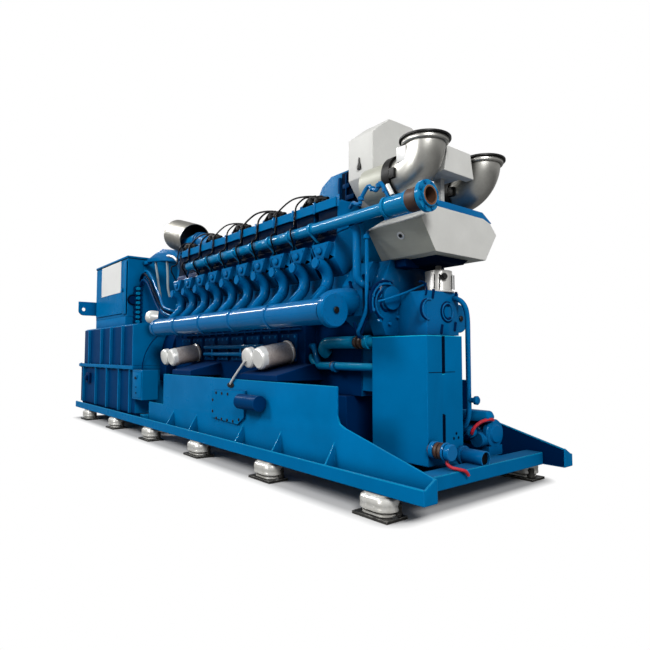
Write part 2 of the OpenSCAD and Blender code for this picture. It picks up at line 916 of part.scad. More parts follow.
// Side pipes on the crankcase, the two pipes that feed the tank, and the thin risers
module oil_pipes() {
    color(blue) {
        for (z = [847, 910])
            bar_x(head_x[2] - 37, -case_y - 46, z, 1180, 36);
        for (i = [2, 4, 5])
            block(head_x[i] + pitch / 2 - 13, -case_y - 60, 826, [26, 60, 106]);
        difference() {
            pipe([[step_x + 130, -200, feed_z - 60], [step_x + 130, feed_y, feed_z],
                [case_x1 + 60, feed_y, feed_z]], 70);
            block(step_x, -230 - seat, feed_z - 200, [case_x1 + 100 - step_x, 230, 400]);
        }
        bar_x(case_x1 - 8, feed_y, feed_z, 24, 104);
        bar_x(case_x1 + 116, feed_y, feed_z, tank_x0 - case_x1 - 116, 84);
        pipe([[step_x, feed_y, 905], [step_x + 30, feed_y, 905], [step_x + 105, feed_y, drain_z],
            [tank_x0, feed_y, drain_z]], 46);
        bar_x(step_x + 265, feed_y, drain_z, 26, 76);
        riser_pipes();
        pipe([[half_l - 2034, -web_y - 12, 560], [half_l - 2034, -web_y - 12, 660],
            [half_l - 1770, -600, 785], [half_l - 1770, -case_y - seat, 785]], 22);
    }
    color("#5b3a22")
        bar_x(case_x1 + 60, feed_y, feed_z, 56, 96);
}

heater_x = half_l - 2290;

// Bolted plate on the web with the heater body beside it
module heater() {
    color(blue) {
        along_y(-web_y - 16, 16)
            polygon([[heater_x, 335], [heater_x + 415, 315], [heater_x + 510, 375], [heater_x + 525, 575],
                [heater_x, 550]]);
        bar_x(heater_x + 525, -web_y - 56, 500, 270, 110);
        block(heater_x + 490, -web_y - 70, 450, [35, 70, 100]);
    }
}

drum_d = 364;
drum_l = 480;
drum_wall = 8;

drum_x = case_x0 - 60;
drum_y = -100;
drum_z = 2136;
drum_tilt = 17;
post_x = drum_x - 295;

// Air intake drum at the flywheel end, open towards the engine, with the pipe in its mouth
module air_drum() {
    color(steel)
        translate([drum_x, drum_y, drum_z]) rotate([0, drum_tilt - 90, 0])
            difference() {
                cylinder(h = drum_l, d = drum_d);
                translate([0, 0, -1]) cylinder(h = drum_l - 30, d = drum_d - 2 * drum_wall);
            }
    color(blue) {
        difference() {
            block(post_x - 40, drum_y - 60, shoulder_z, [80, 120, 960]);
            translate([drum_x, drum_y, drum_z]) rotate([0, drum_tilt - 90, 0])
                cylinder(h = drum_l, d = drum_d + 0.6);
        }
        block(post_x - 90, drum_y - 130, shoulder_z, [180, 260, 14]);
    }
}

near_side_rail();
far_side_rail();
frame_crossmembers();
mount_plates();
mount_bells();
alternator_lower_housing();
alternator_joint_flange();
alternator_upper_housing();
terminal_box();
terminal_box_door();
junction_box();
lifting_lugs();
cable_glands();
flywheel_housing();
crankcase();
oil_sump();
crankcase_covers();
near_cylinder_heads();
far_cylinder_heads();
near_rocker_covers();
far_rocker_covers();
near_intake_runners();
far_intake_runners();
near_receiver();
far_receiver();
near_coolant_pipe();
far_coolant_pipe();
near_coil_rail();
far_coil_rail();
coil_packs();
exhaust_cover();
exhaust_box();
exhaust_elbows();
heat_shield();
cooler_housing();
gear_case();
gear_case_covers();
gas_mixer();
tank_module();
tank_connections();
pump_set();
oil_filters();
oil_pipes();
heater();
air_drum();
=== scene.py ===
"""Looks of the gas generator set: paint, castings, bolts, leads and pipework on the fixed CAD frame.

Metres. +X runs towards the free end of the engine, -Y is the near side and +Z is up.
"""

from __future__ import annotations

import json
import logging
import math
from dataclasses import dataclass
from enum import Enum
from typing import Callable, Iterable, Sequence

import bmesh
import bpy
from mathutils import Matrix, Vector

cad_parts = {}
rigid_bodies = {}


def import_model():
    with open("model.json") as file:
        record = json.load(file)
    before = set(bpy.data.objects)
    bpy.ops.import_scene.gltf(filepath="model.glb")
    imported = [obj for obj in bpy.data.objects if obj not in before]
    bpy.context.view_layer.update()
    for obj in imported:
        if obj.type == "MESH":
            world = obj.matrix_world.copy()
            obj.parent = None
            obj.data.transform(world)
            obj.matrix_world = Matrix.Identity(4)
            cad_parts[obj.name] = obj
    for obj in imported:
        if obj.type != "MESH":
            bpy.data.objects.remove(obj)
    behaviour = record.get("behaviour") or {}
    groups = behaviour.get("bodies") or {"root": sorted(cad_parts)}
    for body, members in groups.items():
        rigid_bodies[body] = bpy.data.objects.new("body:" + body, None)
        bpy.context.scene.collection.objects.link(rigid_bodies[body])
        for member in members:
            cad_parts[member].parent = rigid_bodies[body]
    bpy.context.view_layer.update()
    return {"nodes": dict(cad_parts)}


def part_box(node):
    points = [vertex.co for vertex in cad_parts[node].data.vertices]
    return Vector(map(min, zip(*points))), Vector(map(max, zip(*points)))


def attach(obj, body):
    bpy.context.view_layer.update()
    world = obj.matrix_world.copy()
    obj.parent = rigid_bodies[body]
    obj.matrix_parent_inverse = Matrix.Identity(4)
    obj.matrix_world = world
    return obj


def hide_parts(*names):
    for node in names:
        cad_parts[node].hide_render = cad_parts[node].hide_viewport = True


LOG = logging.getLogger("generator_set")
Point = tuple[float, float, float]
Pair = tuple[float, float]
Spot = tuple[Point, Point]
Rule = Callable[[Vector, Vector], int]
Socket = bpy.types.NodeSocket
NEAR, FAR = -1, 1
SIDES = (NEAR, FAR)
SIDE_NAMES = {NEAR: "near", FAR: "far"}
TURN = 2 * math.pi
ALONG, UP, OUT = (1.0, 0.0, 0.0), (0.0, 0.0, 1.0), (0.0, -1.0, 0.0)
PITCH, FIRST_HEAD = 0.261, -0.375
MOUNT_X, MOUNT_Y = tuple(2.75 - 1.062 * i for i in range(6)), 0.69
SQUARE = 0.9  # A face looks along an axis where this share of its normal does.
ASLANT = 0.5  # It looks more or less that way where this share does.


class Slot(str, Enum):
    """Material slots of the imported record."""

    BLUE = "blue_paint"
    DARK_BLUE = "dark_blue_paint"
    STEEL = "bright_steel"
    PANEL = "shield_panel"
    MOUNT = "zinc_mount"
    PLATE = "dark_plate"
    BLACK = "black_plastic"


class Grain(Enum):
    """Kinds of fine surface relief: scale, stretch by axis and depth."""

    PAINT = (220.0, (1.0, 1.0, 1.0), 0.1)
    CAST = (60.0, (1.0, 1.0, 1.0), 0.35)
    BRUSHED = (90.0, (0.08, 1.0, 1.0), 0.12)
    BRUSHED_UP = (90.0, (1.0, 1.0, 0.08), 0.12)
    MOULDED = (140.0, (1.0, 1.0, 1.0), 0.15)
    RUBBER = (45.0, (1.0, 1.0, 1.0), 0.45)


def linear(colour: Point) -> Point:
    """Turns a display colour in 0..255 into a linear scene colour."""
    return tuple(v / 12.92 if v <= 0.04045 else ((v + 0.055) / 1.055) ** 2.4 for v in (c / 255 for c in colour))


def circle(count: int, start: float = 0.0) -> list[Pair]:
    """Gives cosine and sine round a circle, the first one `start` steps on."""
    return [(math.cos(TURN * (i + start) / count), math.sin(TURN * (i + start) / count)) for i in range(count)]


def round_spots(x: float, y: float, z: float, radius: float, count: int, start: float = 0.0) -> list[Spot]:
    """Gives bolt seats on a circle that faces along the set."""
    return [((x, y + radius * c, z + radius * s), ALONG) for c, s in circle(count, start)]


def hang(name: str, data: bpy.types.ID) -> bpy.types.Object:
    """Puts an object with this data in the scene and returns it."""
    thing = bpy.data.objects.new(name, data)
    bpy.context.scene.collection.objects.link(thing)
    return thing


def bake(piece: bpy.types.Object) -> bpy.types.Object:
    """Turns the modifiers of a piece into plain mesh.

    Args:
        piece: An object with live modifiers.

    Returns:
        The same object, with none left.
    """
    graph = bpy.context.evaluated_depsgraph_get()
    baked = bpy.data.meshes.new_from_object(piece.evaluated_get(graph), depsgraph=graph)
    baked.name = piece.name
    piece.modifiers.clear()
    piece.data = baked
    return piece


# ---- node trees


class Graph:
    """Fills a node tree: adds nodes, sets their inputs and joins them."""

    def __init__(self, tree: bpy.types.NodeTree) -> None:
        """Takes the tree to fill."""
        self.tree = tree

    @classmethod
    def group(cls, name: str, kind: str, inputs: dict[str, float | str], outputs: dict[str, str]) -> Graph:
        """Makes a node group with its sockets.

        Args:
            name: Name of the group.
            kind: Type of its tree.
            inputs: Usual value by input name, or the kind of socket where there is no value.
            outputs: Kind of socket by output name.

        Returns:
            The graph, with the group's inputs as entry.
        """
        graph = cls(bpy.data.node_groups.new(name, kind))
        sockets = graph.tree.interface.new_socket
        for label, value in inputs.items():
            plain = isinstance(value, str)
            sort = value if plain else {float: "Float", int: "Int"}[type(value)]
            socket = sockets(label, in_out="INPUT", socket_type=f"NodeSocket{sort}")
            if not plain:
                socket.default_value = value
        for label, sort in outputs.items():
            sockets(label, in_out="OUTPUT", socket_type=f"NodeSocket{sort}")
        graph.entry = graph.add("NodeGroupInput").outputs
        return graph

    def fill(self, node: bpy.types.Node, values: dict[str | int, object]) -> bpy.types.Node:
        """Sets the inputs of a node.

        Args:
            node: The node.
            values: Value by input; a socket or a list of sockets is joined to it.

        Returns:
            The node.
        """
        for key, value in values.items():
            for item in value if isinstance(value, list) else [value]:
                if isinstance(item, Socket):
                    self.tree.links.new(item, node.inputs[key])
                else:
                    node.inputs[key].default_value = item
        return node

    def add(self, kind: str, values: dict[str | int, object] | None = None, **settings: object) -> bpy.types.Node:
        """Adds a node.

        Args:
            kind: Type of the node.
            values: Its inputs, as for fill.
            **settings: Its own attributes.

        Returns:
            The node.
        """
        node = self.tree.nodes.new(kind)
        for key, value in settings.items():
            setattr(node, key, value)
        return self.fill(node, values or {})

    def math(self, operation: str, *values: Socket | float) -> Socket:
        """Adds a Math node and returns its value."""
        return self.add("ShaderNodeMath", dict(enumerate(values)), operation=operation).outputs["Value"]

    def span(self, source: Socket, low: float, high: float) -> Socket:
        """Maps low..high to 0..1, clamped, and returns the result."""
        return self.add("ShaderNodeMapRange", {"From Min": low, "From Max": high, "Value": source}).outputs["Result"]

    def mix(self, share: Socket, first: Socket | Point, second: Point) -> Socket:
        """Mixes a second colour over the first by a share and returns the result."""
        first, second = [c if isinstance(c, Socket) else (*c, 1.0) for c in (first, second)]
        return self.add("ShaderNodeMix", {0: share, 6: first, 7: second}, data_type="RGBA").outputs[2]

    def set_out(self, points: Socket, item: Socket, **turn: Socket) -> bpy.types.NodeTree:
        """Ends a group that sets an item on points, as plain mesh in the entry's finish.

        Args:
            points: The points.
            item: What stands on each of them.
            **turn: Rotation of each item, where there is one.

        Returns:
            The whole tree.
        """
        placed = self.add("GeometryNodeInstanceOnPoints", {"Points": points, "Instance": item, **turn})
        real = self.add("GeometryNodeRealizeInstances", {"Geometry": placed.outputs["Instances"]})
        dress = {"Geometry": real.outputs["Geometry"], "Material": self.entry["Finish"]}
        done = self.add("GeometryNodeSetMaterial", dress)
        self.add("NodeGroupOutput", {"Geometry": done.outputs["Geometry"]})
        return self.tree


class ShaderGroups:
    """The node groups that all finishes share, built once."""

    def __init__(self) -> None:
        """Builds both groups."""
        self.wear_and_painted_light = self._wear_and_painted_light()
        self.relief = self._relief()

    @staticmethod
    def _wear_and_painted_light() -> bpy.types.NodeTree:
        """Builds the group for cloudy tone, painted shade in corners, worn edges with a painted highlight, and settled
        dust.

        Returns:
            A group with masks Patches, Corners, Edges and Dust; Corners lays painted shade, Edges worn paint with a
            painted highlight.
        """
        graph = Graph.group(
            "wear_and_painted_light", "ShaderNodeTree", {"Patch Scale": 3.0, "Corner Shade Reach": 0.12, "Edge Radius": 0.006},
            dict.fromkeys(("Patches", "Corners", "Edges", "Dust"), "Float"),
        )
        add, entry = graph.add, graph.entry
        where = add("ShaderNodeTexCoord").outputs["Object"]
        cloud = {"Vector": where, "Scale": entry["Patch Scale"], "Detail": 5.0, "Roughness": 0.6}
        patches = graph.span(add("ShaderNodeTexNoise", cloud).outputs["Fac"], 0.32, 0.68)
        # Painted shade: ambient occlusion finds corners, creases and recesses, which the finishes darken.
        corner = add("ShaderNodeAmbientOcclusion", {"Distance": entry["Corner Shade Reach"]}, samples=6)
        # Rounded edges broken up by chip noise, which the finishes lighten as worn paint and painted highlight
        # together.
        rounded = add("ShaderNodeBevel", {"Radius": entry["Edge Radius"]}, samples=4)
        flat = add("ShaderNodeNewGeometry").outputs["Normal"]
        along = add("ShaderNodeVectorMath", {0: rounded.outputs["Normal"], 1: flat}, operation="DOT_PRODUCT")
        chips = add("ShaderNodeTexNoise", {"Vector": where, "Scale": 26.0, "Detail": 6.0})
        split = add("ShaderNodeSeparateXYZ", {"Vector": flat})
        edge, rare = graph.span(along.outputs["Value"], 0.985, 0.8), graph.span(chips.outputs["Fac"], 0.4, 0.62)
        add("NodeGroupOutput", {
            "Patches": patches,
            "Corners": graph.span(corner.outputs["AO"], 0.86, 0.22),
            "Edges": graph.math("MULTIPLY", edge, rare),
            "Dust": graph.math("MULTIPLY", graph.span(split.outputs["Z"], 0.55, 1.0), patches),
        })
        return graph.tree

    @staticmethod
    def _relief() -> bpy.types.NodeTree:
        """Builds the group for fine relief, which may be stretched into a brushed grain.

        Returns:
            A group with a Height and a Streak value.
        """
        graph = Graph.group(
            "fine_relief", "ShaderNodeTree",
            {"Grain Scale": 120.0, "Stretch X": 1.0, "Stretch Y": 1.0, "Stretch Z": 1.0},
            {"Height": "Float", "Streak": "Float"},
        )
        where = graph.add("ShaderNodeTexCoord").outputs["Object"]
        join = graph.add("ShaderNodeCombineXYZ", {axis: graph.entry[f"Stretch {axis}"] for axis in "XYZ"})
        scaled = graph.add("ShaderNodeVectorMath", {0: where, 1: join.outputs["Vector"]}, operation="MULTIPLY")
        grain = {"Vector": scaled.outputs["Vector"], "Scale": graph.entry["Grain Scale"]}
        fine = graph.add("ShaderNodeTexNoise", {**grain, "Detail": 4.0, "Roughness": 0.55}).outputs["Fac"]
        graph.add("NodeGroupOutput", {"Height": fine, "Streak": graph.span(fine, 0.35, 0.65)})
        return graph.tree


# ---- finishes


@dataclass(frozen=True)
class Finish:
    """One painted, cast, brushed or moulded surface with its patchy tone and dust, painted shade in its corners, and
    edges of worn paint with a painted highlight.
    """

    name: str
    slot: Slot
    colour: Point
    second: Point
    # The corner colour is painted shade for corners and recesses; the edge colour is worn paint with a painted
    # highlight.
    corner: Point
    edge: Point
    grain: Grain = Grain.PAINT
    roughness: float = 0.3
    spread: float = 0.12
    metallic: float = 0.0
    coat: float = 0.0
    patch_scale: float = 3.0
    corner_amount: float = 0.8
    corner_reach: float = 0.14
    edge_amount: float = 0.5
    dust: float = 0.06
    dust_colour: Point = (0.35, 0.37, 0.38)
    streak_amount: float = 0.0
    specular: float = 0.5
    tint: Point = (1.0, 1.0, 1.0)

    def build(self, groups: ShaderGroups) -> bpy.types.Material:
        """Makes the node material.

        Args:
            groups: The shared shader groups.

        Returns:
            The finished material.
        """
        material = bpy.data.materials.new(self.name)
        material.use_nodes = True
        graph = Graph(material.node_tree)
        reach = {"Patch Scale": self.patch_scale, "Corner Shade Reach": self.corner_reach}
        weather = graph.add("ShaderNodeGroup", node_tree=groups.wear_and_painted_light)
        masks = graph.fill(weather, reach).outputs
        scale, stretch, depth = self.grain.value
        relief = graph.add("ShaderNodeGroup", node_tree=groups.relief)
        grains = {f"Stretch {axis}": value for axis, value in zip("XYZ", stretch)}
        fine = graph.fill(relief, {"Grain Scale": scale, **grains}).outputs
        tone = self.colour
        # Painted light: the corner colour goes in as painted shade, the edge colour as worn paint with a painted
        # highlight.
        for mask, amount, colour in (
            (masks["Patches"], 1.0, self.second), (fine["Streak"], self.streak_amount, self.second),
            (masks["Dust"], self.dust, self.dust_colour), (masks["Corners"], self.corner_amount, self.corner),
            (masks["Edges"], self.edge_amount, self.edge),
        ):
            tone = graph.mix(graph.math("MULTIPLY", mask, amount), tone, colour)
        rough = graph.math("MULTIPLY_ADD", masks["Patches"], self.spread, self.roughness - self.spread / 2)
        bump = graph.add("ShaderNodeBump", {"Strength": depth, "Distance": 0.002, "Height": fine["Height"]})
        graph.fill(material.node_tree.nodes["Principled BSDF"], {
            "Base Color": tone, "Metallic": self.metallic, "Coat Weight": self.coat, "Coat Roughness": 0.07,
            "Specular IOR Level": self.specular, "Specular Tint": (*self.tint, 1.0),
            "Roughness": graph.math("MULTIPLY_ADD", masks["Corners"], 0.25, rough), "Normal": bump.outputs["Normal"],
        })
        return material


def paint(name: str, slot: Slot, colour: Point, **changes: object) -> Finish:
    """Describes an enamel in one colour, with a duller patchy tone, navy painted shade in its corners and lighter edges
    of worn paint and painted highlight.

    Args:
        name: Name of the material.
        slot: Record slot that it belongs to.
        colour: Main colour as a display shows it.
        **changes: Fields that differ from the usual enamel.

    Returns:
        The finish.
    """
    main = linear(colour)
    usual = {
        "second": tuple(v * 0.86 for v in main), "corner": (0.0, 0.006, 0.035),
        "edge": tuple(min(1.0, v * 1.3 + 0.03) for v in main), "specular": 0.015, "tint": (0.02, 0.5, 0.95),
    }
    return Finish(name, slot, main, **{**usual, **changes})


def surface(name: str, slot: Slot, colours: Sequence[Point], *rest: object, **changes: object) -> Finish:
    """Describes a finish by its main, second, corner and edge colour as a display shows them."""
    return Finish(name, slot, *map(linear, colours), *rest, **changes)


FINISHES = (
    paint("blue_enamel", Slot.BLUE, (0, 112, 172)),
    paint("engine_enamel", Slot.BLUE, (0, 108, 170), roughness=0.26, corner_reach=0.24, corner_amount=0.97, coat=0.12),
    paint("pipe_enamel", Slot.BLUE, (0, 108, 170), roughness=0.24, corner_reach=0.16, coat=0.4),
    surface("mixer_steel", Slot.STEEL, ((244, 243, 240), (205, 203, 198), (50, 48, 48), (250, 250, 248)),
            Grain.BRUSHED_UP, 0.3, 0.15, 0.35, streak_amount=0.5, corner_reach=0.08),
    surface("filter_steel", Slot.STEEL, ((222, 216, 210), (168, 150, 140), (60, 50, 46), (250, 250, 248)),
            Grain.BRUSHED, 0.36, 0.2, 0.2, streak_amount=0.6, corner_reach=0.08),
    # Lighter pipe enamel: painted highlight spread over the whole coolant pipe and its collars.
    paint("bright_enamel", Slot.BLUE, (0, 132, 190), roughness=0.24, corner_reach=0.12, coat=0.35),
    # Light cyan enamel: painted highlight along upward rounded edges.
    paint("highlight_enamel", Slot.BLUE, (10, 172, 212), corner_reach=0.05, corner_amount=0.2, coat=0.15),
    # Dark navy: painted shade on the rails' inner faces and in the gear case's cast grooves.
    paint("recess_enamel", Slot.DARK_BLUE, (0, 34, 76), roughness=0.5, corner_amount=0.6),
    # Lighter blue enamel: painted highlight on rail and crossbeam edges and gland tips, painted light on the level side
    # pipes.
    paint("lit_enamel", Slot.BLUE, (0, 132, 180), corner_reach=0.05, corner_amount=0.6, coat=0.15),
    paint("shade_enamel", Slot.DARK_BLUE, (0, 16, 40), roughness=0.5, corner_amount=0.5),
    paint("deep_enamel", Slot.BLUE, (0, 58, 108), roughness=0.35, corner_reach=0.25),
    paint("navy_enamel", Slot.DARK_BLUE, (0, 44, 92), roughness=0.4, corner_amount=0.9, corner_reach=0.3),
    paint("grey_sleeve", Slot.DARK_BLUE, (150, 165, 170), grain=Grain.MOULDED, corner=(0.05, 0.07, 0.09)),
    surface("satin_steel", Slot.STEEL, ((206, 205, 199), (174, 173, 167), (24, 24, 22), (215, 214, 208)),
            Grain.BRUSHED, 0.37, 0.1, 1.0, streak_amount=0.35, corner_reach=0.1),
    surface("drum_steel", Slot.STEEL, ((176, 174, 166), (128, 126, 118), (30, 28, 24), (230, 228, 220)),
            Grain.BRUSHED_UP, 0.36, 0.12, 1.0, streak_amount=0.5, corner_reach=0.2),
    surface("dark_steel", Slot.STEEL, ((34, 34, 33), (22, 22, 22), (5, 5, 5), (90, 90, 88)),
            Grain.CAST, 0.42, 0.15, 0.7),
    surface("bright_cap", Slot.STEEL, ((236, 236, 232), (218, 218, 214), (90, 90, 88), (245, 245, 242)),
            Grain.MOULDED, 0.35, 0.1, 0.2, coat=0.3, corner_reach=0.05),
    surface("bolt_steel", Slot.STEEL, ((112, 114, 114), (80, 82, 84), (20, 22, 24), (210, 210, 208)),
            Grain.MOULDED, 0.38, 0.2, 0.9, corner_reach=0.03),
    surface("lagging_panel", Slot.PANEL, ((222, 222, 218), (208, 208, 204), (70, 72, 68), (240, 240, 236)),
            Grain.BRUSHED, 0.5, streak_amount=0.2, corner_reach=0.16, corner_amount=0.7, dust=0.1, specular=0.12),
    surface("lagging_shade", Slot.PANEL, ((190, 192, 178), (172, 172, 160), (36, 36, 34), (190, 190, 182)),
            Grain.BRUSHED, 0.45, 0.12, 0.1, streak_amount=0.5, corner_reach=0.18),
    surface("cast_zinc", Slot.MOUNT, ((236, 235, 230), (206, 204, 196), (40, 36, 30), (246, 245, 238)),
            Grain.CAST, 0.34, 0.2, 0.45, patch_scale=14.0, corner_reach=0.05),
    surface("plate_iron", Slot.PLATE, ((74, 73, 70), (48, 47, 45), (10, 10, 10), (190, 188, 182)),
            Grain.CAST, 0.45, 0.2, 0.6, patch_scale=12.0, edge_amount=0.9, corner_reach=0.05),
    surface("brown_rubber", Slot.BLACK, ((78, 48, 30), (52, 30, 18), (10, 6, 4), (110, 74, 48)),
            Grain.RUBBER, 0.55, 0.2, patch_scale=20.0, corner_reach=0.04),
    surface("black_moulding", Slot.BLACK, ((9, 8, 10), (5, 5, 7), (1, 1, 2), (26, 22, 24)),
            Grain.MOULDED, 0.5, 0.2, patch_scale=18.0, corner_reach=0.04, dust=0.0, specular=0.08),
    surface("red_sheath", Slot.BLACK, ((206, 34, 52), (170, 22, 40), (60, 4, 10), (230, 90, 100)),
            Grain.MOULDED, 0.4, 0.1, patch_scale=30.0, corner_reach=0.02),
    surface("white_plate", Slot.PANEL, ((244, 244, 242), (236, 236, 234), (150, 152, 155), (255, 255, 255)),
            Grain.MOULDED, 0.3, 0.0, coat=0.1, corner_reach=0.01, corner_amount=0.1, dust=0.0),
    surface("copper_ring", Slot.STEEL, ((196, 150, 116), (150, 96, 64), (40, 20, 10), (240, 214, 190)),
            Grain.BRUSHED, 0.3, 0.2, 0.9, corner_reach=0.04),
)


class Palette:
    """Builds each finish once and hands out its material."""

    def __init__(self) -> None:
        """Builds the shared groups and all the materials."""
        groups = ShaderGroups()
        self.finishes = {finish.name: finish for finish in FINISHES}
        self.materials = {finish.name: finish.build(groups) for finish in FINISHES}


# ---- shapes


def smooth_path(points: Sequence[Point], steps: int = 6) -> list[Vector]:
    """Runs a smooth curve through points.

    Args:
        points: Points that the curve passes.
        steps: Pieces between two points.

    Returns:
        The points of the curve.
    """
    knots = [Vector(p) for p in points]
    ends = [knots[0] * 2 - knots[1], *knots, knots[-1] * 2 - knots[-2]]
    curve: list[Vector] = []
    for a, b, c, d in zip(ends, ends[1:], ends[2:], ends[3:]):
        for t in (i / steps for i in range(steps)):
            bend = (2 * a - 5 * b + 4 * c - d) * t * t + (3 * b - a - 3 * c + d) * t**3
            curve.append(0.5 * (2 * b + (c - a) * t + bend))
    return [*curve, knots[-1]]


class Shape:
    """Collects the faces of one piece."""

    def __init__(self) -> None:
        """Starts with no faces."""
        self.mesh = bmesh.new()

    def rings(self, rings: Sequence[Sequence[Vector]], closed: bool = False) -> Shape:
        """Skins a row of rings and caps both ends.

        Args:
            rings: Rings of equal length; a ring of one repeated point closes to a tip.
            closed: True where the last ring joins the first.

        Returns:
            This shape.
        """
        made, faces = [], []
        for ring in rings:
            tip = (ring[0] - ring[len(ring) // 2]).length < 1e-7
            made.append([self.mesh.verts.new(ring[0])] * len(ring) if tip else [self.mesh.verts.new(p) for p in ring])
        for a, b in list(zip(made, made[1:])) + ([(made[-1], made[0])] if closed else []):
            for i in range(len(a)):
                j = (i + 1) % len(a)
                faces.append((a[i], a[j], b[j], b[i]))
        for face in faces if closed else [*faces, made[0][::-1], made[-1]]:
            unique = list(dict.fromkeys(face))
            if len(unique) > 2:
                self.mesh.faces.new(unique)
        return self

    def box(self, low: Point, high: Point) -> Shape:
        """Adds a box between two corners."""
        middle, half = (Vector(low) + Vector(high)) / 2, (Vector(high) - Vector(low)) / 2
        around = ((-1, -1), (1, -1), (1, 1), (-1, 1))
        return self.rings([[middle + Vector((half.x * x, half.y * y, half.z * z)) for x, y in around] for z in (-1, 1)])

    def prism(self, outline: Sequence[Pair], start: float, end: float) -> Shape:
        """Extrudes an outline, given by x and z, across the set."""
        return self.rings([[Vector((x, y, z)) for x, z in outline] for y in (start, end)])

    def lathe(
        self, profile: Sequence[Pair], centre: Point, axis: Point, steps: int = 36, closed: bool = False
    ) -> Shape:
        """Turns a profile about an axis.

        Args:
            profile: Radius and height pairs; a radius of 0 closes an end.
            centre: Where height 0 lies.
            axis: Direction of the axis.
            steps: Faces round the axis.
            closed: True where the profile is a closed ring.

        Returns:
            This shape.
        """
        up = Vector(axis).normalized()
        side = up.orthogonal().normalized()
        cross = up.cross(side)
        ring = circle(steps)
        return self.rings(
            [[Vector(centre) + up * h + (side * c + cross * s) * r for c, s in ring] for r, h in profile], closed
        )

    def disc(self, centre: Point, axis: Point, radius: float, height: float, steps: int = 36) -> Shape:
        """Adds a plain round block."""
        return self.lathe(((0.0, 0.0), (radius, 0.0), (radius, height), (0.0, height)), centre, axis, steps)

    def collar(self, centre: Point, axis: Point, inner: float, outer: float, height: float, steps: int = 36) -> Shape:
        """Adds a plain open ring."""
        return self.lathe(((inner, 0.0), (outer, 0.0), (outer, height), (inner, height)), centre, axis, steps, True)

    def tube(self, path: Sequence[Point | Vector], radius: float, sides: int = 12) -> Shape:
        """Runs a round bar along a path, without twist.

        Args:
            path: Points of the middle line.
            radius: Radius of the bar.
            sides: Faces round it.

        Returns:
            This shape.
        """
        line = [Vector(p) for p in path]
        last = len(line) - 1
        ways = [(line[min(i + 1, last)] - line[max(i - 1, 0)]).normalized() for i in range(last + 1)]
        side = ways[0].orthogonal().normalized()
        rings = []
        for point, way in zip(line, ways):
            side = (side - way * side.dot(way)).normalized()
            cross = way.cross(side)
            rings.append([point + (side * c + cross * s) * radius for c, s in circle(sides)])
        return self.rings(rings)

    def hose(self, points: Sequence[Point], radius: float, sides: int = 12, steps: int = 6) -> Shape:
        """Runs a round bar along a smooth curve through points."""
        return self.tube(smooth_path(points, steps), radius, sides)

    def node(self, data: bpy.types.Mesh) -> Shape:
        """Adds a welded copy of a CAD node's mesh, with its flat faces made whole."""
        mesh = self.mesh
        mesh.from_mesh(data)
        bmesh.ops.remove_doubles(mesh, verts=mesh.verts, dist=1e-5)
        bmesh.ops.dissolve_limit(mesh, angle_limit=math.radians(0.6), verts=mesh.verts, edges=mesh.edges)
        return self.zones(lambda *_: 0)

    def zones(self, rule: Rule) -> Shape:
        """Gives each face the finish that the rule picks from its middle and normal."""
        self.mesh.normal_update()
        for face in self.mesh.faces:
            face.material_index = rule(face.calc_center_median(), face.normal)
        return self

    def drop_solids(self, rule: Callable[[Vector, Vector], bool]) -> Shape:
        """Leaves out the solids that other pieces stand for.

        Args:
            rule: Picks them by their lowest and highest corner.

        Returns:
            This shape.
        """
        islands, left = [], set(self.mesh.faces)
        while left:
            stack, island = [left.pop()], []
            while stack:
                face = stack.pop()
                island.append(face)
                for other in (o for edge in face.edges for o in edge.link_faces if o in left):
                    left.discard(other)
                    stack.append(other)
            islands.append(island)
        for island in islands:
            spots = [v.co for face in island for v in face.verts]
            low, high = (Vector([pick(p[i] for p in spots) for i in range(3)]) for pick in (min, max))
            if rule(low, high):
                bmesh.ops.delete(self.mesh, geom=island, context="FACES")
        return self


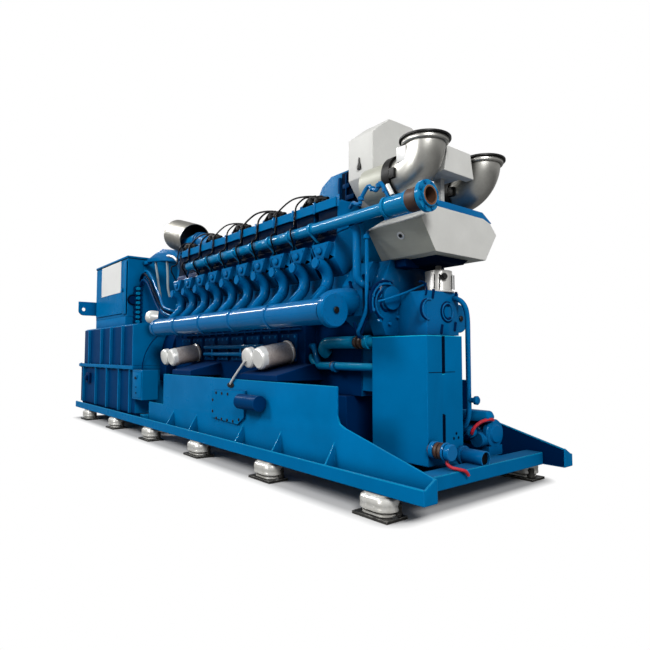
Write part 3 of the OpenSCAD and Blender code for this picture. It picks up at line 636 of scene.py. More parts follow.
@dataclass
class Workshop:
    """Makes finished pieces, keeps count and reports them."""

    palette: Palette
    nodes: dict[str, bpy.types.Object]
    smooth_below: float = math.radians(24)
    bevel_above: float = math.radians(30)
    upward: float = 0.35
    count: int = 0

    def finish(
        self, shape: Shape, name: str, finishes: str, bevel: float = 0.0, replaces: str = "", highlight_finish: str = ""
    ) -> None:
        """Turns a shape into a dressed piece that rides on the set.

        Args:
            shape: The faces.
            name: Name of the piece.
            finishes: Finish names by zone, with spaces between them.
            bevel: Width of the rounded edges, 0 for none.
            replaces: CAD node that the piece stands for.
            highlight_finish: Finish of the rounded edges that face up, where it differs.
        """
        if not replaces:
            bmesh.ops.recalc_face_normals(shape.mesh, faces=shape.mesh.faces)
        mesh = bpy.data.meshes.new(name)
        shape.mesh.to_mesh(mesh)
        shape.mesh.free()
        names = finishes.split()
        for finish in names + highlight_finish.split():
            mesh.materials.append(self.palette.materials[finish])
        piece = hang(name, mesh)
        if bevel:
            rounding = piece.modifiers.new("rounding", "BEVEL")
            rounding.width, rounding.segments, rounding.use_clamp_overlap = bevel, 2, True
            rounding.limit_method, rounding.angle_limit = "ANGLE", self.bevel_above
            rounding.material = len(names) if highlight_finish else -1
            bake(piece)
        # The rounded edges that face up keep the lighter finish as a painted highlight; the others go back to the main
        # finish.
        for face in piece.data.polygons if highlight_finish else ():
            if face.material_index == len(names) and face.normal.z < self.upward:
                face.material_index = 0
        piece.data.shade_smooth()
        piece.data.set_sharp_from_angle(angle=self.smooth_below)
        self.register(piece, names[0], replaces.split())

    def register(self, piece: bpy.types.Object, finish: str, replaces: Sequence[str] = ()) -> None:
        """Ties a piece to the set and reports it.

        Args:
            piece: The object.
            finish: Name of its main finish; not used.
            replaces: CAD nodes that it stands for.
        """
        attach(piece, "root")
        if replaces:
            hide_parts(*replaces)
        self.count += 1
        LOG.info("%s: %d faces", piece.name, len(piece.data.polygons))

    def soften(
        self, node: str, finishes: str, bevel: float = 0.0, rule: Rule | None = None,
        drop: Callable[[Vector, Vector], bool] | None = None, highlight_finish: str = "",
    ) -> None:
        """Stands a rounded copy in for a CAD node.

        Args:
            node: Name of the node.
            finishes: Finish names by zone, with spaces between them.
            bevel: Width of its rounded edges.
            rule: Rule that picks the zone of a face.
            drop: Rule that picks the solids that other pieces stand for.
            highlight_finish: Finish of the rounded edges that face up, where it differs.
        """
        shape = Shape().node(self.nodes[node].data)
        if drop:
            shape.drop_solids(drop)
        if rule:
            shape.zones(rule)
        self.finish(shape, f"{node}_finished", finishes, bevel, node, highlight_finish)


class Corners:
    """The lowest and highest corner of a CAD node."""

    def __init__(self, node: str) -> None:
        """Reads the box of a node."""
        low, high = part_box(node)
        self.x0, self.y0, self.z0 = low
        self.x1, self.y1, self.z1 = high


# ---- geometry node parts


@dataclass
class Setter:
    """Runs a geometry node tree over points and keeps the result as plain mesh."""

    shop: Workshop

    def __post_init__(self) -> None:
        """Builds the tree once."""
        self.tree = self._tree()

    def run(self, name: str, spots: Sequence[Spot], finish: str, values: dict[str, object]) -> bpy.types.Object:
        """Makes one object from the tree.

        Args:
            name: Name of the object.
            spots: Points and the way each one faces.
            finish: Name of the finish.
            values: Other inputs of the tree by name.

        Returns:
            The object, with plain mesh.
        """
        mesh = bpy.data.meshes.new(name)
        mesh.from_pydata([seat for seat, _ in spots], [], [])
        facing = mesh.attributes.new("facing", "FLOAT_VECTOR", "POINT")
        facing.data.foreach_set("vector", [v for _, way in spots for v in way])
        piece = hang(name, mesh)
        modifier = piece.modifiers.new("setting", "NODES")
        modifier.node_group = self.tree
        values = {**values, "Finish": self.shop.palette.materials[finish]}
        for item in self.tree.interface.items_tree:
            if item.in_out == "INPUT" and item.name in values:
                modifier[item.identifier] = values[item.name]
        return bake(piece)


class Fasteners(Setter):
    """Hexagon bolts with washers, set on points that carry their direction."""

    @staticmethod
    def _tree() -> bpy.types.NodeTree:
        """Builds the tree that sets a bolt on each point."""
        sizes = {"Head Radius": 0.01, "Head Height": 0.007, "Washer Radius": 0.014, "Seed": 7}
        graph = Graph.group(
            "bolt_setting", "GeometryNodeTree", {"Geometry": "Geometry", **sizes, "Finish": "Material"},
            {"Geometry": "Geometry"},
        )
        add, entry = graph.add, graph.entry
        plates = []
        for part, corners, height in (("Head", 6, 2.0), ("Washer", 14, 0.5)):
            depth = graph.math("MULTIPLY", entry["Head Height"], height)
            inputs = {"Vertices": corners, "Radius": entry[f"{part} Radius"], "Depth": depth}
            plates.append(add("GeometryNodeMeshCylinder", inputs).outputs["Mesh"])
        both = add("GeometryNodeJoinGeometry", {0: plates})
        facing = add("GeometryNodeInputNamedAttribute", {"Name": "facing"}, data_type="FLOAT_VECTOR")
        align = add("FunctionNodeAlignRotationToVector", {"Vector": facing.outputs["Attribute"]}, axis="Z")
        draw = {"Min": (0.0, 0.0, 0.0), "Max": (0.0, 0.0, 1.0), "Seed": entry["Seed"]}
        chance = add("FunctionNodeRandomValue", data_type="FLOAT_VECTOR")
        turn = {"Rotation": align.outputs["Rotation"], "Rotate By": graph.fill(chance, draw).outputs["Value"]}
        spin = add("FunctionNodeRotateRotation", turn, rotation_space="LOCAL")
        return graph.set_out(entry["Geometry"], both.outputs["Geometry"], Rotation=spin.outputs["Rotation"])

    def set_out(self, name: str, spots: Iterable[Spot], size: float, finish: str = "engine_enamel") -> None:
        """Sets a bolt at each spot.

        Args:
            name: Name of the piece.
            spots: Seats of the bolts and the way each one faces.
            size: Radius of the heads.
            finish: Name of their finish.
        """
        sizes = {"Head Radius": size, "Head Height": size * 0.65, "Washer Radius": size * 1.45}
        self.shop.register(self.run(name, list(spots), finish, sizes), finish)


class Slats(Setter):
    """Rows of equal bars, each from one start and one step."""

    @staticmethod
    def _tree() -> bpy.types.NodeTree:
        """Builds the tree that makes a row of bars."""
        graph = Graph.group(
            "slat_row", "GeometryNodeTree",
            {"Geometry": "Geometry", "Start": "Vector", "Step": "Vector", "Size": "Vector", "Count": 4,
             "Finish": "Material"}, {"Geometry": "Geometry"},
        )
        entry = graph.entry
        line = {"Count": entry["Count"], "Start Location": entry["Start"], "Offset": entry["Step"]}
        row = graph.add("GeometryNodeMeshLine", line)
        bar = graph.add("GeometryNodeMeshCube", {"Size": entry["Size"]})
        return graph.set_out(row.outputs["Mesh"], bar.outputs["Mesh"])

    def set_out(
        self, name: str, rows: Sequence[tuple[Point, Point, Point, int]], finish: str, bevel: float = 0.0
    ) -> None:
        """Makes rows of bars as one piece.

        Args:
            name: Name of the piece.
            rows: Start, step, size and count of each row.
            finish: Name of their finish.
            bevel: Width of their rounded edges.
        """
        whole = Shape()
        for row in rows:
            piece = self.run(name, [((0.0, 0.0, 0.0), UP)], finish, dict(zip(("Start", "Step", "Size", "Count"), row)))
            whole.mesh.from_mesh(piece.data)
            bpy.data.objects.remove(piece)
        self.shop.finish(whole, name, finish, bevel)


@dataclass
class Part:
    """A sub-assembly, with what it is built with."""

    shop: Workshop
    bolts: Fasteners
    slats: Slats

    def __post_init__(self) -> None:
        """Takes over the workshop's two ways to make a piece."""
        self.finish, self.soften = self.shop.finish, self.shop.soften

    def boxes(self, name: str, finish: str, bevel: float, *pairs: tuple[Point, Point]) -> None:
        """Makes one piece of boxes.

        Args:
            name: Name of the piece.
            finish: Name of its finish.
            bevel: Width of the rounded edges, 0 for none.
            *pairs: Lowest and highest corner of each box.
        """
        shape = Shape()
        for low, high in pairs:
            shape.box(low, high)
        self.finish(shape, name, finish, bevel)

    def hoses(self, name: str, finish: str, *runs: tuple[float, int, Sequence[Point]]) -> None:
        """Makes one piece of smooth hoses.

        Args:
            name: Name of the piece.
            finish: Name of its finish.
            *runs: Radius, sides and points of each hose.
        """
        shape = Shape()
        for radius, sides, points in runs:
            shape.hose(points, radius, sides)
        self.finish(shape, name, finish)


# ---- base frame and mounts


@dataclass
class BaseFrame(Part):
    """Welded base frame with its plates, bolts and heater."""

    edge: float = 0.006
    recess_from: float = 0.24
    body_length: float = 0.262
    web_face: float = -0.663
    port: Point = (0.287, -0.6475, 0.606)
    bolt_reach: float = 0.07

    def build(self) -> None:
        """Builds the rails, crossbeams, heater and their bolts."""
        # The rails' inward faces above recess_from take a dark enamel as painted shade; the upward rounded edges of
        # rails and crossbeams take a lighter enamel as painted highlight.
        for side in SIDES:
            self.soften(
                f"{SIDE_NAMES[side]}_side_rail", "blue_enamel recess_enamel", self.edge,
                lambda middle, normal, side=side: int(normal.y * side < -SQUARE and middle.z > self.recess_from),
                highlight_finish="lit_enamel",
            )
        self.soften("frame_crossmembers", "blue_enamel", self.edge, highlight_finish="lit_enamel")
        self._heater()
        seat = Corners("near_side_rail").z0 + 0.016
        reach = self.bolt_reach
        spots = [((x + dx, side * MOUNT_Y, seat), UP) for x in MOUNT_X for dx in (-reach, reach) for side in SIDES]
        self.bolts.set_out("frame_bolts", spots, 0.014, "bolt_steel")

    def _heater(self) -> None:
        """Builds the bolted web plate with the heater body beside it."""
        heater = Corners("heater")
        body_from = heater.x1 - self.body_length
        self.soften("heater", "blue_enamel deep_enamel", 0.003, lambda middle, _: int(middle.x > body_from))
        spots = [(heater.x0 + 0.076 + 0.095 * i, heater.z1 - 0.04) for i in range(3)]
        spots += [(heater.x0 + 0.018, heater.z1 - 0.1 - 0.091 * i) for i in range(2)]
        spots += [(heater.x0 + 0.081 + 0.09 * i, heater.z0 + 0.018 + 0.02 * (i == 4)) for i in range(5)]
        self.bolts.set_out("plate_bolts", [((x, self.web_face, z), OUT) for x, z in spots], 0.0085, "dark_steel")
        # A dark oval block on the web, painted shade standing for the slot hole.
        x, y, z = self.port
        ring = [Vector((heater.x0 + x + 0.05 * c, y, z + 0.02 * s)) for c, s in circle(24)]
        rings = [ring, [point + Vector((0.0, -0.006, 0.0)) for point in ring]]
        self.finish(Shape().rings(rings), "web_port", "dark_steel", 0.0015)


@dataclass
class Mounts(Part):
    """Anti-vibration mounts: cast bells on rubber over dark base plates."""

    half_flat: float = 0.045
    anchor: float = 0.111
    rubber_reach: Pair = (0.094, 0.038)
    rib_reach: Pair = (0.03, 0.0685)
    bell: Sequence[Pair] = (
        (0.0, 0.0165), (0.056, 0.0165), (0.059, 0.02), (0.058, 0.029), (0.05, 0.034), (0.05, 0.039), (0.066, 0.041),
        (0.0715, 0.045), (0.0725, 0.052), (0.0715, 0.058), (0.0705, 0.072), (0.0715, 0.075), (0.0725, 0.08),
        (0.072, 0.094), (0.069, 0.104), (0.062, 0.112), (0.05, 0.1165), (0.05, 0.1245), (0.0, 0.1245),
    )
    rubber: Sequence[Pair] = (
        (0.0, 0.017), (0.02, 0.017), (0.024, 0.026), (0.021, 0.05), (0.024, 0.072), (0.02, 0.082), (0.0, 0.082)
    )

    def build(self) -> None:
        """Builds the bells, rubbers, plates and anchor bolts."""
        bells, rubbers = Shape(), Shape()
        for x in MOUNT_X:
            for side in SIDES:
                centre = Vector((x, side * MOUNT_Y, 0.0))
                bells.rings([self._ring(centre, radius, height) for radius, height in self.bell])
                along, inward = self.rubber_reach
                for end in (-1, 1):
                    rubbers.lathe(self.rubber, centre + Vector((end * along, -side * inward, 0.0)), UP, 20)
        self.finish(bells, "mount_bells_cast", "cast_zinc", 0.0, "mount_bells")
        self.finish(rubbers, "mount_rubbers", "plate_iron")
        # The plates' upward rounded edges take the pale zinc as painted highlight.
        self.soften("mount_plates", "plate_iron", 0.005, highlight_finish="cast_zinc")
        spots = [
            ((x + end * self.anchor, side * MOUNT_Y, 0.016), UP) for x in MOUNT_X for end in (-1, 1) for side in SIDES
        ]
        self.bolts.set_out("anchor_bolts", spots, 0.0125, "bolt_steel")
        along, outward = self.rib_reach
        ribs = [
            ((x + end * along, side * (MOUNT_Y + outward), 0.056), UP, (0.007, 0.006, 0.03), 1)
            for x in MOUNT_X for end in (-1, 1) for side in SIDES
        ]
        self.slats.set_out("bell_ribs", ribs, "cast_zinc", 0.002)

    def _ring(self, centre: Vector, radius: float, height: float) -> list[Vector]:
        """Gives one oblong ring of a bell at a height."""
        flat = [math.copysign(self.half_flat, c) for c, _ in circle(40, 0.5)]
        return [centre + Vector((c * radius + f, s * radius, height)) for f, (c, s) in zip(flat, circle(40, 0.5))]


# ---- alternator


@dataclass
class Alternator(Part):
    """Ribbed alternator with its terminal box, lugs, glands and hoses."""

    edge: float = 0.006
    flank: float = 0.67
    flank_play: float = 0.004
    gland_pitch: float = 0.058
    gland_length: float = 0.3
    hose: float = 0.0145
    hose_arch: Sequence[Point] = (
        (-1.66, -0.37, 1.735), (-1.53, -0.39, 1.745), (-1.378, -0.41, 1.7), (-1.25, -0.42, 1.62),
        (-1.143, -0.43, 1.53), (-0.975, -0.44, 1.39),
    )
    hose_end: Sequence[Point] = ((-0.789, -0.44, 1.275), (-0.66, -0.4, 1.225), (-0.59, -0.35, 1.21))

    def build(self) -> None:
        """Builds the housings, the terminal box and all that hangs on them."""

        def panel_zone(middle: Vector, normal: Vector) -> int:
            """Picks the darker enamel, painted shade, for the panels recessed between the ribs."""
            return int(abs(normal.y) > SQUARE and abs(abs(middle.y) - self.flank) < self.flank_play)

        for part in ("lower", "upper"):
            self.soften(f"alternator_{part}_housing", "blue_enamel deep_enamel", self.edge, panel_zone)
        self.soften("alternator_joint_flange", "blue_enamel", 0.008)
        for node in ("terminal_box", "lifting_lugs"):
            self.soften(node, "blue_enamel", self.edge)
        self._terminal_box()
        self._glands()
        self._junction_box()
        low, flange = Corners("alternator_lower_housing"), Corners("alternator_joint_flange")
        self.boxes("alternator_feet", "navy_enamel", 0.003, *[
            ((low.x0 + 0.04, side * 0.63 - 0.025, 0.139), (low.x1 - 0.01, side * 0.63 + 0.025, low.z0 + 0.004))
            for side in SIDES
        ])
        spots = [
            ((flange.x0 + 0.06 + 0.222 * i, side * 0.688, z), (0.0, 0.0, way))
            for i in range(10) for side in SIDES for z, way in ((flange.z1, 1.0), (flange.z0, -1.0))
        ]
        self.bolts.set_out("flange_bolts", spots, 0.011)

    def _terminal_box(self) -> None:
        """Builds the door with its bare plate, the lid, the panels and the screws."""
        box, door = Corners("terminal_box"), Corners("terminal_box_door")
        (x0, y0, z0), (x1, y1, z1) = (box.x0, box.y0, box.z0), (box.x1, box.y1, box.z1)

        def sign_zone(middle: Vector, _: Vector) -> int:
            """Picks the white plate out of the door."""
            return int(x0 + 0.285 < middle.x < x1 - 0.19 and middle.z > z1 - 0.44 and middle.y < door.y1 - 0.0175)

        self.soften("terminal_box_door", "blue_enamel white_plate", 0.002, sign_zone)
        for name, finish, bevel, *pairs in (
            ("lid", "blue_enamel", 0.003,
             ((x0 - 0.01, y0 - 0.01, z1 - 0.016), (x1 + 0.012, y1 + 0.01, z1 + 0.008))),
            ("gasket", "black_moulding", 0.0,
             ((x0 - 0.004, y0 - 0.004, z1 - 0.024), (x1 + 0.004, y1 + 0.004, z1 - 0.015))),
            ("panels", "blue_enamel", 0.002,
             ((x1 - 0.128, y0 - 0.016, z0 + 0.03), (x1 - 0.008, y0 - 0.0135, z1 - 0.05)),
             ((x1, y0 + 0.19, z0 + 0.05), (x1 + 0.005, y1 - 0.05, z1 - 0.06)),
             ((x0 - 0.005, y0 + 0.08, z0 + 0.07), (x0, y1 - 0.08, z1 - 0.07)),
             ((x0 + 0.08, y1, z0 + 0.06), (x1 - 0.08, y1 + 0.008, z1 - 0.07))),
        ):
            self.boxes(f"terminal_box_{name}", finish, bevel, *pairs)
        left, right, low, high = x0 + 0.065, x1 - 0.15, z0 + 0.065, z1 - 0.065
        front = door.y1 - 0.014
        spots = [((left + (right - left) * i / 6, front, z), OUT) for i in range(7) for z in (low, high)]
        spots += [((x, front, low + (high - low) * i / 4), OUT) for i in range(1, 4) for x in (left, right)]
        spots += [((x1 + 0.005, y0 + 0.22 + 0.25 * i, z), ALONG) for i in range(4) for z in (z0 + 0.08, z1 - 0.09)]
        spots += [
            ((x0 - 0.005, y0 + 0.12 + 0.195 * i, z), (-1.0, 0.0, 0.0)) for i in range(5) for z in (z0 + 0.1, z1 - 0.1)
        ]
        self.bolts.set_out("box_screws", spots, 0.0055)
        corners = [(x, z) for x in (x0 + 0.305, x1 - 0.215) for z in (z1 - 0.415, z1 - 0.05)]
        self.bolts.set_out("plate_rivets", [((x, door.y1 - 0.018, z), OUT) for x, z in corners], 0.004)

    def _glands(self) -> None:
        """Builds the glands with their collars, the vent, and the hoses that arch to the engine."""
        wall = Corners("terminal_box").x1
        self.soften("cable_glands", "navy_enamel", 0.002, drop=lambda low, high: high.x - low.x > self.gland_length)
        # The gland tips take a lighter enamel as painted highlight, the collars a darker one as painted shade between
        # them, and the vent's ring is near-black as painted shade in its opening.
        collars, tips = Shape(), Shape()
        for i in range(8):
            height = 1.245 + self.gland_pitch * i
            for shape, start, radius, width in (
                (collars, 0.0, 0.04, 0.012), (collars, 0.018, 0.033, 0.012), (tips, 0.038, 0.02, 0.04)
            ):
                shape.disc((wall + start, -0.4, height), ALONG, radius, width, 24)
        self.finish(tips, "gland_tips", "lit_enamel")
        collars.lathe(((0.0, 0.0), (0.03, 0.0), (0.024, 0.022), (0.0, 0.024)), (wall, -0.462, 1.515), ALONG, 32)
        self.finish(collars, "gland_collars", "deep_enamel")
        rim = ((0.034, 0.0), (0.066, 0.0), (0.066, 0.02), (0.056, 0.026), (0.034, 0.016))
        self.finish(Shape().lathe(rim, (wall, -0.444, 1.515), ALONG, closed=True), "box_vent", "shade_enamel")
        # Every other hose takes a darker enamel, painted shade between the hoses where they overlap.
        for i, finish in enumerate(("deep_enamel", "engine_enamel", "shade_enamel", "engine_enamel")):
            side, lift, sag = 0.03 * (i % 2), 0.036 * i, 0.03 * i
            path = [(x, y + side, z + lift) for x, y, z in ((wall - 0.005, -0.35, 1.68), *self.hose_arch)]
            path += [(x, y, z + sag) for x, y, z in self.hose_end]
            self.hoses(f"power_hose_{i + 1}", finish, (self.hose, 12, path))

    def _junction_box(self) -> None:
        """Builds the small cabinet with its door, latch and thin lead, and the drain fitting."""
        box = Corners("junction_box")
        self.soften("junction_box", "blue_enamel", 0.004)
        door = ((box.x0 + 0.02, -0.706, box.z0 + 0.02), (box.x1 - 0.02, -0.6995, box.z1 - 0.02))
        self.boxes("junction_box_door", "blue_enamel", 0.002, door)
        latch = Shape().box((-0.858, -0.716, 0.585), (-0.816, -0.705, 0.61))
        for radius, height in ((0.008, 0.439), (0.006, 0.5)):
            latch.disc((-0.829, -0.706, height), OUT, radius, 0.008, 14)
        self.finish(latch, "junction_box_latch", "black_moulding", 0.001)
        self.hoses("sensor_lead", "deep_enamel", (0.006, 8, (
            (-0.9, -0.62, 0.676), (-0.895, -0.62, 0.74), (-0.82, -0.615, 0.86), (-0.66, -0.61, 0.975),
            (-0.5, -0.6, 1.045), (-0.47, -0.6, 1.06),
        )))
        fitting = Shape().box((-2.76, -0.699, 0.47), (-2.6, -0.669, 0.6))
        fitting.lathe(((0.0, 0.0), (0.035, 0.0), (0.035, 0.028), (0.0, 0.034)), (-2.68, -0.699, 0.535), OUT, 24)
        self.finish(fitting, "drain_fitting", "navy_enamel", 0.003)


# ---- engine block


@dataclass
class EngineBlock(Part):
    """Crankcase, flywheel housing, sump and the bolted covers."""

    sump_top: float = 0.76
    covers_top: float = 1.1
    covers_y: float = 0.3405
    housing: Pair = (-0.702, 0.86)
    housing_radius: float = 0.355
    housing_from: float = 0.62
    cap: Sequence[Pair] = (
        (0.0, 0.068), (0.03, 0.063), (0.052, 0.048), (0.066, 0.026), (0.071, 0.0), (0.071, -0.06), (0.0, -0.06)
    )

    def build(self) -> None:
        """Builds the block and its fasteners."""
        # The crankcase below sump_top and behind its covers is painted navy as shade under the receiver and in the
        # recess behind the covers.
        self.soften(
            "crankcase", "engine_enamel navy_enamel", 0.008,
            lambda middle, _: int(
                middle.z < self.sump_top or (middle.z < self.covers_top and abs(middle.y) < self.covers_y)
            ),
        )
        self.soften("crankcase_covers", "deep_enamel", 0.004)
        for node in ("flywheel_housing", "oil_sump"):
            self.soften(node, "navy_enamel", 0.006)
        rim = [(dx, z) for z in (0.81, 0.98) for dx in (-0.08, 0.0, 0.08)] + [(-0.08, 0.895), (0.08, 0.895)]
        spots = [
            ((FIRST_HEAD + PITCH * i + dx, side * 0.358, z), (0.0, float(side), 0.0))
            for i in range(8) for side in SIDES for dx, z in rim
        ]
        self.bolts.set_out("cover_bolts", spots, 0.0075)
        (x, z), radius = self.housing, self.housing_radius
        ring = [((x, radius * s, z + radius * c), ALONG) for c, s in circle(24)]
        self.bolts.set_out("housing_bolts", [spot for spot in ring if spot[0][2] > self.housing_from], 0.011)
        rows = []
        for side in SIDES:
            rows += [
                ((FIRST_HEAD - 0.13, side * 0.3455, 1.1), (PITCH / 2, 0.0, 0.0), (0.016, 0.03, 0.17), 16),
                ((FIRST_HEAD - 0.13, side * 0.356, 1.27), (PITCH, 0.0, 0.0), (0.03, 0.02, 0.2), 9),
                ((0.62, side * 0.352, 1.035), (0.0, 0.0, 0.03), (1.96, 0.022, 0.012), 1),
            ]
        self.slats.set_out("crankcase_ribs", rows, "deep_enamel", 0.003)
        cap = Shape().lathe(self.cap, (-0.702, -0.6, 1.238), (-0.35, -0.93, 0.1), 32)
        self.finish(cap, "breather_cap", "bright_cap")
        arm = Shape().tube(((-0.67, -0.53, 1.21), (-0.62, -0.36, 1.2), (-0.6, -0.345, 1.2)), 0.022)
        self.finish(arm, "breather_arm", "engine_enamel")


# ---- banks


@dataclass
class Bank(Part):
    """One bank of ten cylinders: heads, covers, runners, receiver, pipe, rail and leads."""

    side: int
    count: int = 10
    head_top: float = 1.6
    head_slope: float = 0.2
    cover_flank: float = 0.39
    coupling: Pair = (2.8095, 2.8865)
    bore: float = 0.05
    pipe_y: float = 0.486
    pipe_z: float = 1.702
    receiver_y: float = 0.62
    receiver_z: float = 1.115
    receiver_radius: float = 0.084
    crest: Sequence[Pair] = (
        (2.395, 1.775), (2.402, 1.807), (2.465, 1.868), (2.5, 1.845), (2.537, 1.827), (2.556, 1.85), (2.572, 1.862),
        (2.61, 1.81), (2.651, 1.735),
    )

    def at(self, x: float, y: float, z: float) -> Point:
        """Places a point of the near side, given with y outwards, on this side."""
        return (x, self.side * y, z)

    @property
    def heads(self) -> list[float]:
        """Positions of the heads along the set."""
        return [FIRST_HEAD + PITCH * i for i in range(self.count)]

    def build(self) -> None:
        """Builds the bank from the heads outwards."""
        name = SIDE_NAMES[self.side]
        # The heads' upward faces under the coolant pipe are painted navy and the rocker covers' outer flanks under the
        # coil rail near-black, both as painted shade.
        for part, finishes, bevel, rule in (
            ("cylinder_heads", "engine_enamel navy_enamel", 0.005,
             lambda at, way: int(at.z > self.head_top and way.z > self.head_slope)),
            ("rocker_covers", "engine_enamel shade_enamel", 0.008,
             lambda at, way: int(abs(way.y) > SQUARE and abs(at.y) > self.cover_flank)),
            ("intake_runners", "engine_enamel", 0.0, None),
            ("coil_rail", "blue_enamel", 0.003, None),
        ):
            self.soften(f"{name}_{part}", finishes, bevel, rule)
        self._pipe(name)
        if self.side == NEAR:
            self._outlet()
        self._receiver(name)
        self._heads(name)

    def _pipe(self, name: str) -> None:
        """Builds the coolant pipe with its collars, stubs and clips."""

        def zone(middle: Vector, normal: Vector) -> int:
            """Picks the rubber coupling, and the faces inside the flange's bore, painted black as shade."""
            start, end = self.coupling
            if start < middle.x < end:
                return 1
            reach = math.hypot(middle.y - self.side * self.pipe_y, middle.z - self.pipe_z)
            return 2 if middle.x > end and reach < self.bore and abs(normal.x) < ASLANT else 0

        # The coolant pipe and its collars take the lighter enamel as painted highlight.
        self.soften(f"{name}_coolant_pipe", "bright_enamel brown_rubber black_moulding", 0.002, zone)
        y, z = self.pipe_y, self.pipe_z
        collars = Shape()
        for i, x in enumerate(self.heads[2:]):
            collars.collar(self.at(x - 0.071, y, z), ALONG, 0.038, 0.046 if i % 2 else 0.043, 0.022, 28)
            collars.tube((self.at(x - 0.06, y + 0.02, z - 0.03), self.at(x - 0.05, 0.44, z - 0.09)), 0.01, 10)
        for x in (2.62, 2.79):
            collars.collar(self.at(x if self.side == NEAR else x - 0.64, y, z), ALONG, 0.058, 0.064, 0.018, 32)
        self.finish(collars, f"{name}_pipe_collars", "bright_enamel")

    def _outlet(self) -> None:
        """Builds the lining and bolts of the pipe's outlet, and the vents over it."""
        y, z = self.pipe_y, self.pipe_z
        liner = Shape().collar(self.at(2.9445, y, z), ALONG, 0.0445, 0.0545, 0.003, 40)
        self.finish(liner, "outlet_liner", "copper_ring", 0.0008)
        self.bolts.set_out("outlet_bolts", round_spots(2.9325, -y, z, 0.074, 8, 0.5), 0.009)
        vents = Shape().hose([self.at(x, y, z) for x, z in self.crest], 0.0125, steps=3)
        branch = ((2.23, 0.42, 1.8), (2.28, 0.44, 1.815), (2.34, 0.47, 1.79), (2.395, 0.486, 1.775))
        vents.hose([self.at(*point) for point in branch], 0.0125)
        for x, z in self.crest[1:-1:2]:
            vents.disc(self.at(x, y, z - 0.011), UP, 0.019, 0.022, 6)
        self.finish(vents, "vent_pipes", "pipe_enamel")
        gauge = Shape().tube((self.at(2.628, y, 1.835), self.at(2.668, y, 1.765)), 0.014, 16)
        self.finish(gauge, "level_tube", "bright_cap")

    def _receiver(self, name: str) -> None:
        """Builds the receiver with its bands, end disc and bolts."""
        bands = [FIRST_HEAD - 0.1 + 0.533 + 2 * PITCH * i for i in range(4)]
        box, radius, y, z = Corners(f"{name}_receiver"), self.receiver_radius, self.receiver_y, self.receiver_z
        profile = [(0.0, 0.0), (0.05, 0.0), (0.072, 0.01), (radius, 0.035)]
        profile += [(radius, 0.085), (0.093, 0.089), (0.093, 0.105), (radius, 0.109)]
        for start in (x - 0.004 - box.x0 for x in bands):
            steps = ((0.0, 0.0), (0.008, 0.003), (0.008, 0.021), (0.0, 0.024))
            profile += [(radius + rise, start + along) for rise, along in steps]
        profile += [(radius, 2.765), (0.0, 2.765)]
        body = Shape().lathe(profile, self.at(box.x0, y, z), ALONG, 56)
        bend = ((0.6, 1.13), (0.55, 1.165), (0.46, 1.185), (0.345, 1.19))
        body.hose([self.at(2.205, *turn) for turn in bend], 0.088, 32)
        self.finish(body, f"{name}_receiver_body", "pipe_enamel", 0.0, f"{name}_receiver")
        spots = [
            (self.at(x + dx, y + 0.093 * math.cos(angle), z + 0.093 * math.sin(angle)),
             self.at(0.0, math.cos(angle), math.sin(angle)))
            for x in bands for angle in (-1.25, 0.9) for dx in (-0.008, 0.016)
        ]
        disc = box.x1 - 0.014
        spots += [(self.at(*seat), way) for seat, way in round_spots(disc - 0.001, y, z, 0.078, 8)]
        self.bolts.set_out(f"{name}_receiver_bolts", spots, 0.0065)
        rim = ((0.07, -0.056), (0.1, -0.056), (0.107, -0.048), (0.107, -0.008), (0.1, 0.001), (0.03, 0.004),
               (0.0, 0.004))
        self.finish(Shape().lathe(rim, self.at(disc, y, z), ALONG, 56), f"{name}_receiver_end", "engine_enamel")
        boss = ((0.0, 0.0), (0.021, 0.0), (0.017, 0.004), (0.0, 0.004))
        port = Shape().lathe(boss, self.at(disc + 0.014, y, z), ALONG, 20)
        self.finish(port, f"{name}_receiver_port", "dark_steel")

    def _heads(self, name: str) -> None:
        """Builds the caps, bolts, clips and leads on the heads."""
        studs, small = [], []
        parts, clips, away = Shape(), Shape(), self.at(0.0, 1.0, 0.0)
        for x in self.heads:
            for dx in (-0.085, 0.085):
                studs += [(self.at(x + dx, y, 1.9), UP) for y in (0.27, 0.345)]
                small.append((self.at(x + dx * 0.75, 0.47, 1.577), away))
            cap = ((0.0, 0.0), (0.024, 0.0), (0.024, 0.012), (0.015, 0.018), (0.0, 0.02))
            parts.lathe(cap, self.at(x, 0.47, 1.545), away, 20)
            grip = ((0.428, 1.52), (0.452, 1.57), (0.428, 1.63))
            parts.tube([self.at(x - 0.105, y, z) for y, z in grip], 0.011, 10)
            clips.box(self.at(x + 0.118, 0.4135, 1.838), self.at(x + 0.142, 0.4185, 1.92))
            clips.collar(self.at(x + 0.027, 0.537, 1.455), self.at(0.0, -1.0, 0.0), 0.03, 0.034, 0.016, 20)
        self.bolts.set_out(f"{name}_cover_studs", studs, 0.009)
        self.bolts.set_out(f"{name}_flank_bolts", small, 0.0065)
        self.finish(parts, f"{name}_head_fittings", "engine_enamel")
        self.finish(clips, f"{name}_rail_clips", "engine_enamel", 0.001)


